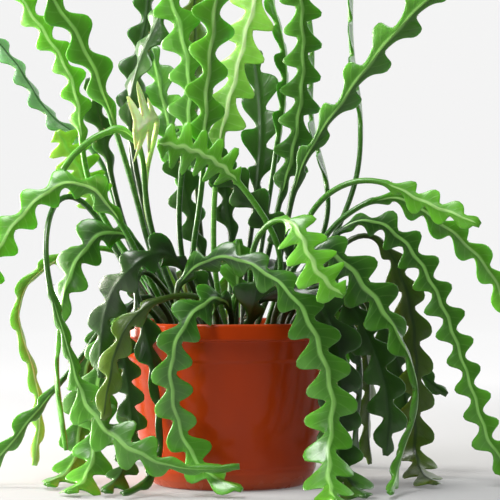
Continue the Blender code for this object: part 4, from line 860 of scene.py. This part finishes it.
skinFeel = dict(
    roughness=0.38, coat=0.48, coatRoughness=0.2, specular=0.4,
    glow=0.25, glowRadius=(0.5, 1.0, 0.25), glowScale=0.004, relief=(0.35, 0.0003),
    bark=(0.21, 0.19, 0.08), margin=(0.20, 0.34, 0.10), blotch=90.0, grain=1500.0, mottle=0.30,
    # each effect runs from one share of the length or width to another
    ageFrom=(0.25, 1.0), edgeFrom=(0.2, 1.0), veinWidth=(0.35, 0.0), veinFrom=(0.06, 0.3),
    ribFrom=(0.19, 0.07), marginFrom=(0.955, 1.0), barkFrom=(0.24, 0.03),
    # and tells this much in the colour, the roughness or the height
    agePaint=0.75, edgePaint=0.35, veinPaint=0.12, ribPaint=0.85, marginPaint=0.45, barkPaint=0.75,
    veins=4.0, veinSlant=-0.8, halfWave=3.1416,
    barkWear=0.25, ribWear=0.08, grainHeight=0.25, veinHeight=0.55)


def makeWaxySkin():
    # skinMap holds share of the length, share of the width, place in the lobe, and a tone: a random one by
    # stem times a painted light-and-shade patch by lobe
    group, given, result = newGroup(
        "waxySkin",
        [("Old", "Color", (0, 0, 0, 1)), ("Fresh", "Color", (0, 0, 0, 1)), ("Rib", "Color", (0, 0, 0, 1)),
         ("Bark", "Color", linear(skinFeel["bark"])), ("Margin", "Color", linear(skinFeel["margin"]))],
        [("Color", "Color"), ("Wear", "Float"), ("Height", "Float")])
    feel = skinFeel
    paint = addNode(group, "ShaderNodeAttribute", attribute_name="skinMap")
    parts = addNode(group, "ShaderNodeSeparateColor", {0: paint.outputs["Color"]})
    share, across, lobe = parts.outputs[0], parts.outputs[1], parts.outputs[2]
    shade, grain = mottled(group, feel["blotch"], feel["grain"], feel["mottle"])
    age = ramp(group, share, *feel["ageFrom"])
    edgeAge = times(group, ramp(group, across, *feel["edgeFrom"]), feel["edgePaint"])
    fresh = plus(group, times(group, age, feel["agePaint"]), edgeAge)
    colour = blended(group, fresh, given.outputs["Old"], given.outputs["Fresh"])
    veinPlace = plus(group, times(group, lobe, feel["veins"]), times(group, across, feel["veinSlant"]))
    wave = mathOf(group, "ABSOLUTE", mathOf(group, "SINE", times(group, veinPlace, feel["halfWave"])))
    vein = times(group, ramp(group, wave, *feel["veinWidth"]), ramp(group, across, *feel["veinFrom"]))
    colour = blended(group, times(group, vein, feel["veinPaint"]), colour, given.outputs["Rib"])
    # the rib takes the skin's rib colour: where that is lighter than the blade, it is partly the rib's own
    # lighter green and partly a painted highlight along the raised rib
    rib = ramp(group, across, *feel["ribFrom"])
    colour = blended(group, times(group, rib, feel["ribPaint"]), colour, given.outputs["Rib"])
    margin = times(group, ramp(group, across, *feel["marginFrom"]), feel["marginPaint"])
    colour = blended(group, margin, colour, given.outputs["Margin"])
    bark = times(group, ramp(group, share, *feel["barkFrom"]), shade)
    colour = blended(group, times(group, bark, feel["barkPaint"]), colour, given.outputs["Bark"])
    # the mottle times the stored tone, which carries the painted light-and-shade patch on each lobe
    tone = times(group, shade, paint.outputs["Alpha"])
    colour = blended(group, 1.0, colour, tone, "MULTIPLY")
    wear = plus(group, times(group, bark, feel["barkWear"]), times(group, rib, feel["ribWear"]))
    height = plus(group, times(group, grain, feel["grainHeight"]), times(group, vein, feel["veinHeight"]))
    group.links.new(colour, result.inputs["Color"])
    group.links.new(wear, result.inputs["Wear"])
    group.links.new(height, result.inputs["Height"])
    return group


waxySkin = makeWaxySkin()


def skinMaterial(kind):
    look = skins[kind]
    material, tree, shader = newMaterial(
        "waxySkin_" + kind, Specular_IOR_Level=skinFeel["specular"],
        Coat_Weight=skinFeel["coat"], Coat_Roughness=skinFeel["coatRoughness"],
        Subsurface_Weight=skinFeel["glow"], Subsurface_Radius=skinFeel["glowRadius"],
        Subsurface_Scale=skinFeel["glowScale"])
    skin = addNode(tree, "ShaderNodeGroup", node_tree=waxySkin)
    for label, key in (("Old", "old"), ("Fresh", "fresh"), ("Rib", "rib")):
        skin.inputs[label].default_value = linear(look[key])
    tree.links.new(skin.outputs["Color"], shader.inputs["Base Color"])
    rough = plus(tree, skin.outputs["Wear"], skinFeel["roughness"])
    tree.links.new(rough, shader.inputs["Roughness"])
    bumped(tree, shader, skin.outputs["Height"], *skinFeel["relief"])
    return material


# Stems: their lobed blades

blade = dict(
    # rows along the rib, then half thicknesses and shares of the width, then how each lobe strays, among them
    # the size of a painted light-and-shade patch on each lobe
    row=1.6, stalkRow=4.0, edge=0.42, web=0.95, ribHalf=1.8, ribWide=1.5, valley=0.21, swell=0.45, droop=0.15,
    cup=0.12, lean=0.16, vary=0.22, patch=0.22, tone=0.10, ripple=0.02, ripplePace=0.9, fan=1.25,
    across=[0.99, 0.94, 0.85, 0.72, 0.57, 0.42, 0.29, 0.18, 0.09],
    fineStep=2.5, smooth=(6, 7), tipRows=[1.6, 0.7, 0.15], tail=3.0, tipFade=2.5, mostLobes=80,
    # crowd is how much of a bend's radius the half width may take on its inner side
    crowd=0.62, stalkBlend=4.0, roundedRim=0.12, flatOver=3.0, notchIn=0.97)

# one lobe's edge from notch to notch: (share of the pitch, share of the height)
outlines = dict(
    lobe=[(0, 0), (0.08, 0.08), (0.18, 0.24), (0.30, 0.50), (0.41, 0.75), (0.52, 0.92), (0.63, 1.0),
          (0.74, 0.98), (0.82, 0.87), (0.87, 0.68), (0.905, 0.45), (0.935, 0.22), (0.965, 0.07), (1, 0)],
    even=[(0, 0), (0.10, 0.07), (0.19, 0.21), (0.27, 0.44), (0.34, 0.70), (0.42, 0.91), (0.52, 1.0),
          (0.62, 0.94), (0.70, 0.76), (0.78, 0.48), (0.86, 0.22), (0.93, 0.07), (1, 0)],
    knob=[(0, 0), (0.15, 0.05), (0.30, 0.15), (0.42, 0.33), (0.50, 0.56), (0.56, 0.80), (0.64, 0.97),
          (0.74, 1.0), (0.83, 0.96), (0.88, 0.80), (0.905, 0.55), (0.925, 0.30), (0.955, 0.10), (1, 0)],
    saw=[(0, 0), (0.035, 0.14), (0.06, 0.40), (0.10, 0.72), (0.16, 0.93), (0.24, 1.0), (0.33, 0.92),
         (0.43, 0.72), (0.55, 0.46), (0.68, 0.25), (0.82, 0.09), (1, 0)],
    finger=[(0, 0), (0.10, 0.08), (0.20, 0.34), (0.28, 0.62), (0.38, 0.88), (0.50, 0.99), (0.62, 1.0),
            (0.73, 0.97), (0.80, 0.82), (0.85, 0.55), (0.89, 0.28), (0.94, 0.08), (1, 0)])


def edgeCurve(outline, turn):
    # place and height on a lobe's edge by how far round the lobe we are: each side of the outline gives up
    # an eighth at both ends, three times, and the places are then spread evenly along it
    line = np.array(outline, float)
    whole = np.concatenate([line[-3:-1] - (1, 0), line, line[1:3] + (1, 0)])
    for _ in range(3):
        mean = 0.5 * (whole[:-1] + whole[1:])
        early = 0.75 * whole[:-1] + 0.25 * mean
        late = 0.25 * mean + 0.75 * whole[1:]
        whole = np.stack([early, late], axis=1).reshape(-1, 2)
    stretch = np.concatenate([[0], np.cumsum(np.hypot(*np.diff(whole * (1, 0.9), axis=0).T))])
    begin = np.interp(0.0, whole[:, 0], stretch)
    finish = np.interp(1.0, whole[:, 0], stretch)
    at = begin + (finish - begin) * turn
    return np.interp(at, stretch, whole[:, 0]), np.interp(at, stretch, np.clip(whole[:, 1], 0, 1))


def bladeRows(stem, total):
    # places along the rib: wide apart on the bare stalk, close over the lobes
    bare = stem["bare"]
    pitches = max(2, int(round((total - bare - blade["tail"]) / stem["pitch"])))
    pitch = (total - bare - blade["tail"]) / pitches
    perLobe = max(8, int(round(pitch / blade["row"])))
    stalk = np.linspace(0, bare, max(4, int(bare / blade["stalkRow"])), endpoint=False)
    lobes = bare + pitch * np.arange(pitches * perLobe + 1) / perLobe
    end = total - np.array(blade["tipRows"])
    return np.concatenate([stalk, lobes[:-1], end]), pitch


def halfThickness(reach, size, high, left):
    # a thin web with a rounded rim, a round rib along its middle and a swelling in each lobe;
    # where the blade is hardly wider than the stalk it turns into a half circle, and it thins at the tip
    out = reach * size
    stalky = np.clip(1.0 - (size - growth["stalkHalf"]) / blade["stalkBlend"], 0.0, 1.0)
    inRim = np.clip(reach - (1 - blade["roundedRim"]), 0, 1) / blade["roundedRim"]
    rim = np.sqrt(np.clip(1.0 - inRim**2, 0.0, 1.0))
    web = (blade["edge"] + (blade["web"] - blade["edge"]) * (1 - reach)) * rim
    web = web + (blade["ribHalf"] - blade["web"]) * np.exp(-(out / blade["ribWide"]) ** 2)
    web = web + blade["swell"] * high * np.sin(np.pi * reach) ** 2
    stalk = blade["ribHalf"] * np.sqrt(np.clip(1.0 - reach**2, 0.0, 1.0))
    thick = web * (1 - stalky) + stalk * stalky
    return thick * np.clip(left / blade["tipFade"], 0.05, 1.0) ** 0.5


def fineStem(stem, track, materials, seed):
    # for each place along the rib and each share of the width: rib point + sideways reach + thickness,
    # where the edge's place runs ahead of the rib's as the lobe's outline says
    rng = np.random.default_rng(seed)
    thin = growth["stalkHalf"]
    total = lengthsOf(track)[-1]
    fineAt = np.linspace(0.0, total, int(total / blade["fineStep"]) + 1)
    fine = softened(resampled(track, fineAt), *blade["smooth"])
    tangent, normal, wide = facing(stem, fine)
    half = halfWidths(stem, fineAt)
    turning = np.gradient(tangent, axis=0) / np.gradient(fineAt)[:, None]
    bend = (turning * wide).sum(axis=1)
    rows, pitch = bladeRows(stem, total)
    inner = np.array(blade["across"])
    front = np.concatenate([[1.0], inner, [0.0], -inner[::-1], [-1.0]])
    across = np.concatenate([front, -inner, [0.0], inner[::-1]])
    face = np.concatenate([np.ones(len(front)), -np.ones(len(front) - 2)])
    face[[0, len(front) - 1]] = 0
    most = blade["mostLobes"]
    leans = rng.uniform(-1, 1, (2, most)) * blade["lean"]
    slimmer = rng.uniform(0, 1, (2, most)) * blade["vary"]
    lobeLightPatches = rng.uniform(-1, 1, (2, most)) * blade["patch"]
    points = np.zeros((len(rows), len(across), 3))
    shades = np.ones((len(rows), len(across), 4))
    notches = []

    def at(values, place):
        return np.stack([np.interp(place, fineAt, values[:, k]) for k in range(3)], axis=-1)

    for side, way in enumerate((1.0, -1.0)):
        # this side's share of the columns, and each row's lobe and how far round it the row is
        mine = across * way >= 0 if side == 0 else across * way > 0
        reach = np.abs(across[mine])[None]
        turn = (rows - stem["bare"]) / pitch + 0.5 * side
        lobe = np.floor(turn)
        this = np.clip(lobe, 0, most - 1).astype(int)
        middle = np.sin(np.pi * (turn - lobe))
        there, high = edgeCurve(outlines[stem["shape"]], turn - lobe)
        blank = rows < stem["bare"] - 0.5 * pitch * side
        high[blank] = 0.0
        high = high * (1 - slimmer[side, this])
        # the width here: the lobe's height between the notch and the full width, less where the stem bends
        shift = np.where(blank, 0.0, (lobe + there - turn) * pitch)
        spot = np.clip(rows + shift, 0.0, total)
        tight = np.maximum(way * np.interp(spot, fineAt, bend), 1e-6)
        width = np.minimum(np.interp(spot, fineAt, half), np.maximum(thin, blade["crowd"] / tight))
        valley = np.minimum(width, np.maximum(thin, blade["valley"] * width))
        size = (valley + (width - valley) * high)[:, None]
        out = reach * size
        thick = halfThickness(reach, size, high[:, None], total - rows[:, None])
        # off the plane: the lobes lean, cup and droop, and the face ripples
        ripple = blade["ripple"] * np.sin(rows * blade["ripplePace"] + seed)[:, None] * reach**2 * size
        lean = leans[side, this] * middle
        curl = (lean[:, None] - blade["cup"] * high[:, None]) * reach**2 * size
        curl = curl - blade["droop"] * np.clip(out - thin, 0, None)
        rise = (curl + ripple + face[mine][None] * thick)[:, :, None]
        place = np.clip(rows[:, None] + shift[:, None] * reach ** blade["fan"], 0.0, total)
        sideways = at(wide, place) * (way * out)[:, :, None]
        points[:, mine] = at(fine, place) + sideways + at(normal, place) * rise
        # skinMap
        flat = np.clip((width - thin) / blade["flatOver"], 0, 1)[:, None]
        shades[:, mine, 0] = place / total
        shades[:, mine, 1] = reach * flat + 0.3 * (1 - flat)
        shades[:, mine, 2] = (turn - lobe)[:, None]
        # the tone: a lighter or darker patch across the middle of each lobe, painted light and shade for
        # lobes that catch the light unevenly
        shades[:, mine, 3] = 1.0 + (lobeLightPatches[side, this] * middle)[:, None] * reach
        # a hair place in each notch: the point, the way out and the way along
        spots = stem["bare"] + pitch * (np.arange(1, int((total - stem["bare"]) / pitch)) - 0.5 * side)
        lowest = np.clip(blade["valley"] * np.interp(spots, fineAt, half), thin, None)
        outward = at(wide, spots) * way
        nook = at(fine, spots) + outward * lowest[:, None] * blade["notchIn"]
        notches.append(np.stack([nook, outward, at(tangent, spots)], axis=1))
    shades[:, :, 3] *= 1.0 + blade["tone"] * rng.uniform(-1, 1)
    poles = [fine[0], fine[-1]]
    made = ringMesh(stem["name"] + "_fine", points, poles, materials[stem["skin"]], shades)
    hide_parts(stem["name"])
    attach(made, "root")
    return np.concatenate(notches)


# Hairs in the notches between the lobes

tufts = dict(
    seed=12, each=5, length=(0.7, 1.5), thick=0.13, forward=(-0.1, 0.9), stray=0.35, apart=0.25,
    colour=(0.72, 0.64, 0.46), roughness=0.6, blotch=300.0, grain=1500.0, mottle=0.3)


def makeTufts(notches):
    # each hair is a three-sided spike: a small triangle at the notch and one point out along a jittered way
    rng = np.random.default_rng(tufts["seed"])
    place, out, along = [np.repeat(notches[:, k], tufts["each"], axis=0) for k in range(3)]
    count = len(place)
    way = out + along * rng.uniform(*tufts["forward"], (count, 1)) + rng.normal(0, tufts["stray"], (count, 3))
    way /= np.linalg.norm(way, axis=1)[:, None]
    first = np.cross(way, (0.31, 0.52, 0.79))
    first /= np.linalg.norm(first, axis=1)[:, None]
    second = np.cross(way, first)
    foot = place + rng.normal(0, tufts["apart"], (count, 3))
    turn = np.arange(3) * 2 * np.pi / 3
    ring = (np.cos(turn)[None, :, None] * first[:, None] + np.sin(turn)[None, :, None] * second[:, None])
    base = foot[:, None] + ring * tufts["thick"]
    tip = foot + way * rng.uniform(*tufts["length"], (count, 1))
    points = np.concatenate([base, tip[:, None]], axis=1)
    material, tree, shader = newMaterial("notchHair", Roughness=tufts["roughness"])
    shade = mottled(tree, tufts["blotch"], tufts["grain"], tufts["mottle"])[0]
    colour = blended(tree, 1.0, linear(tufts["colour"]), shade, "MULTIPLY")
    tree.links.new(colour, shader.inputs["Base Color"])
    made = manyOf("notch_hairs", points, ((0, 1, 3), (1, 2, 3), (2, 0, 3), (2, 1, 0)), material)
    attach(made, "root")


# Soil

def soilHeight(x, y, roots):
    # the level surface plus a few crossed waves, the longer the higher, and a low mound round each stalk
    rise = sum(np.sin(a * x + b * y + c) / (1.5 + 4 * np.hypot(a, b)) for a, b, c in soilLook["waves"])
    apart = np.hypot(x[..., None] - roots[:, 0], y[..., None] - roots[:, 1])
    mound = np.exp(-(apart / soilLook["moundWide"]) ** 2).max(axis=-1)
    level = soilLook["top"] - soilLook["sink"]
    return level + soilLook["lump"] * rise * 0.5 + soilLook["mound"] * mound


def makeSoil(roots):
    # rings from the middle to the wall at the surface's height, then down the pot's inside
    turn = np.linspace(0, 2 * np.pi, soilLook["sides"], endpoint=False)
    radius = np.linspace(soilLook["inner"], soilLook["outer"], soilLook["rings"])
    x, y = radius[:, None] * np.cos(turn), radius[:, None] * np.sin(turn)
    rings = [np.stack([x, y, soilHeight(x, y, roots)], axis=-1)]
    for r, z in soilLook["inside"]:
        rings.append(np.stack([r * np.cos(turn), r * np.sin(turn), np.full(len(turn), z)], axis=-1)[None])
    middle = float(soilHeight(np.zeros(1), np.zeros(1), roots)[0])
    poles = [(0, 0, middle), (0, 0, soilLook["inside"][-1][1])]
    material, tree, shader = newMaterial(
        "pottingSoil", Roughness=soilLook["roughness"], Specular_IOR_Level=soilLook["specular"])
    place = addNode(tree, "ShaderNodeTexCoord").outputs["Object"]
    shade, grain = mottled(tree, soilLook["blotch"], soilLook["grain"], soilLook["mottle"])
    cell = addNode(tree, "ShaderNodeTexVoronoi", {"Vector": place, "Scale": soilLook["cells"]})
    dark, light = linear(soilLook["dark"]), linear(soilLook["light"])
    colour = blended(tree, ramp(tree, grain, *soilLook["toneFrom"]), dark, light)
    speck = addNode(tree, "ShaderNodeSeparateColor", {0: cell.outputs["Color"]}).outputs[0]
    inGrit = ramp(tree, cell.outputs["Distance"], *soilLook["gritSize"])
    grit = times(tree, ramp(tree, speck, *soilLook["gritShare"]), inGrit)
    colour = blended(tree, grit, colour, linear(soilLook["grit"]))
    colour = blended(tree, 1.0, colour, shade, "MULTIPLY")
    tree.links.new(colour, shader.inputs["Base Color"])
    relief = plus(tree, times(tree, cell.outputs["Distance"], soilLook["cellHeight"]), grain)
    bumped(tree, shader, relief, *soilLook["relief"])
    soil = ringMesh("soil_fine", np.concatenate(rings), poles, material)
    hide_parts("soil")
    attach(soil, "root")
    makeCrumbs(roots, material)


def makeCrumbs(roots, material):
    # a stretched and jittered octahedron for each crumb, turned about its upright axis, half sunk in the soil
    rng = np.random.default_rng(soilLook["crumbSeed"])
    count = soilLook["crumbs"]
    distance = soilLook["crumbReach"] * np.sqrt(rng.uniform(0, 1, count))
    turn = rng.uniform(0, 2 * np.pi, count)
    x, y = distance * np.cos(turn), distance * np.sin(turn)
    middle = np.stack([x, y, soilHeight(x, y, roots) + soilLook["crumbLift"]], axis=1)
    corners = np.array([(1, 0, 0), (0, 1, 0), (-1, 0, 0), (0, -1, 0), (0, 0, 1), (0, 0, -1)], float)
    size = rng.gamma(*soilLook["crumbSpread"], count)[:, None, None] + soilLook["crumbLeast"]
    jitter = rng.uniform(*soilLook["crumbVary"], (count, 6, 1))
    lumps = corners[None] * jitter * np.minimum(size, soilLook["crumbMost"])
    heading = rng.uniform(0, 2 * np.pi, count)[:, None]
    a, b, up = lumps[..., 0], lumps[..., 1], lumps[..., 2] * soilLook["crumbFlat"]
    across = a * np.cos(heading) - b * np.sin(heading)
    away = a * np.sin(heading) + b * np.cos(heading)
    points = middle[:, None] + np.stack([across, away, up], axis=-1)
    faces = [(k, (k + 1) % 4, 4) for k in range(4)] + [((k + 1) % 4, k, 5) for k in range(4)]
    made = manyOf("soil_crumbs", points, faces, material)
    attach(made, "root")


# The plant

roots = spreadRoots(stems)
tracks = bentClear(stems, roots)
print("stem routes worked out")
skinMaterials = {kind: skinMaterial(kind) for kind in skins}
allNotches = [fineStem(stem, track, skinMaterials, k) for k, (stem, track) in enumerate(zip(stems, tracks))]
makeTufts(np.concatenate(allNotches))
print("stems made")
makeSoil(roots)
print("soil made")

bpy.context.view_layer.update()
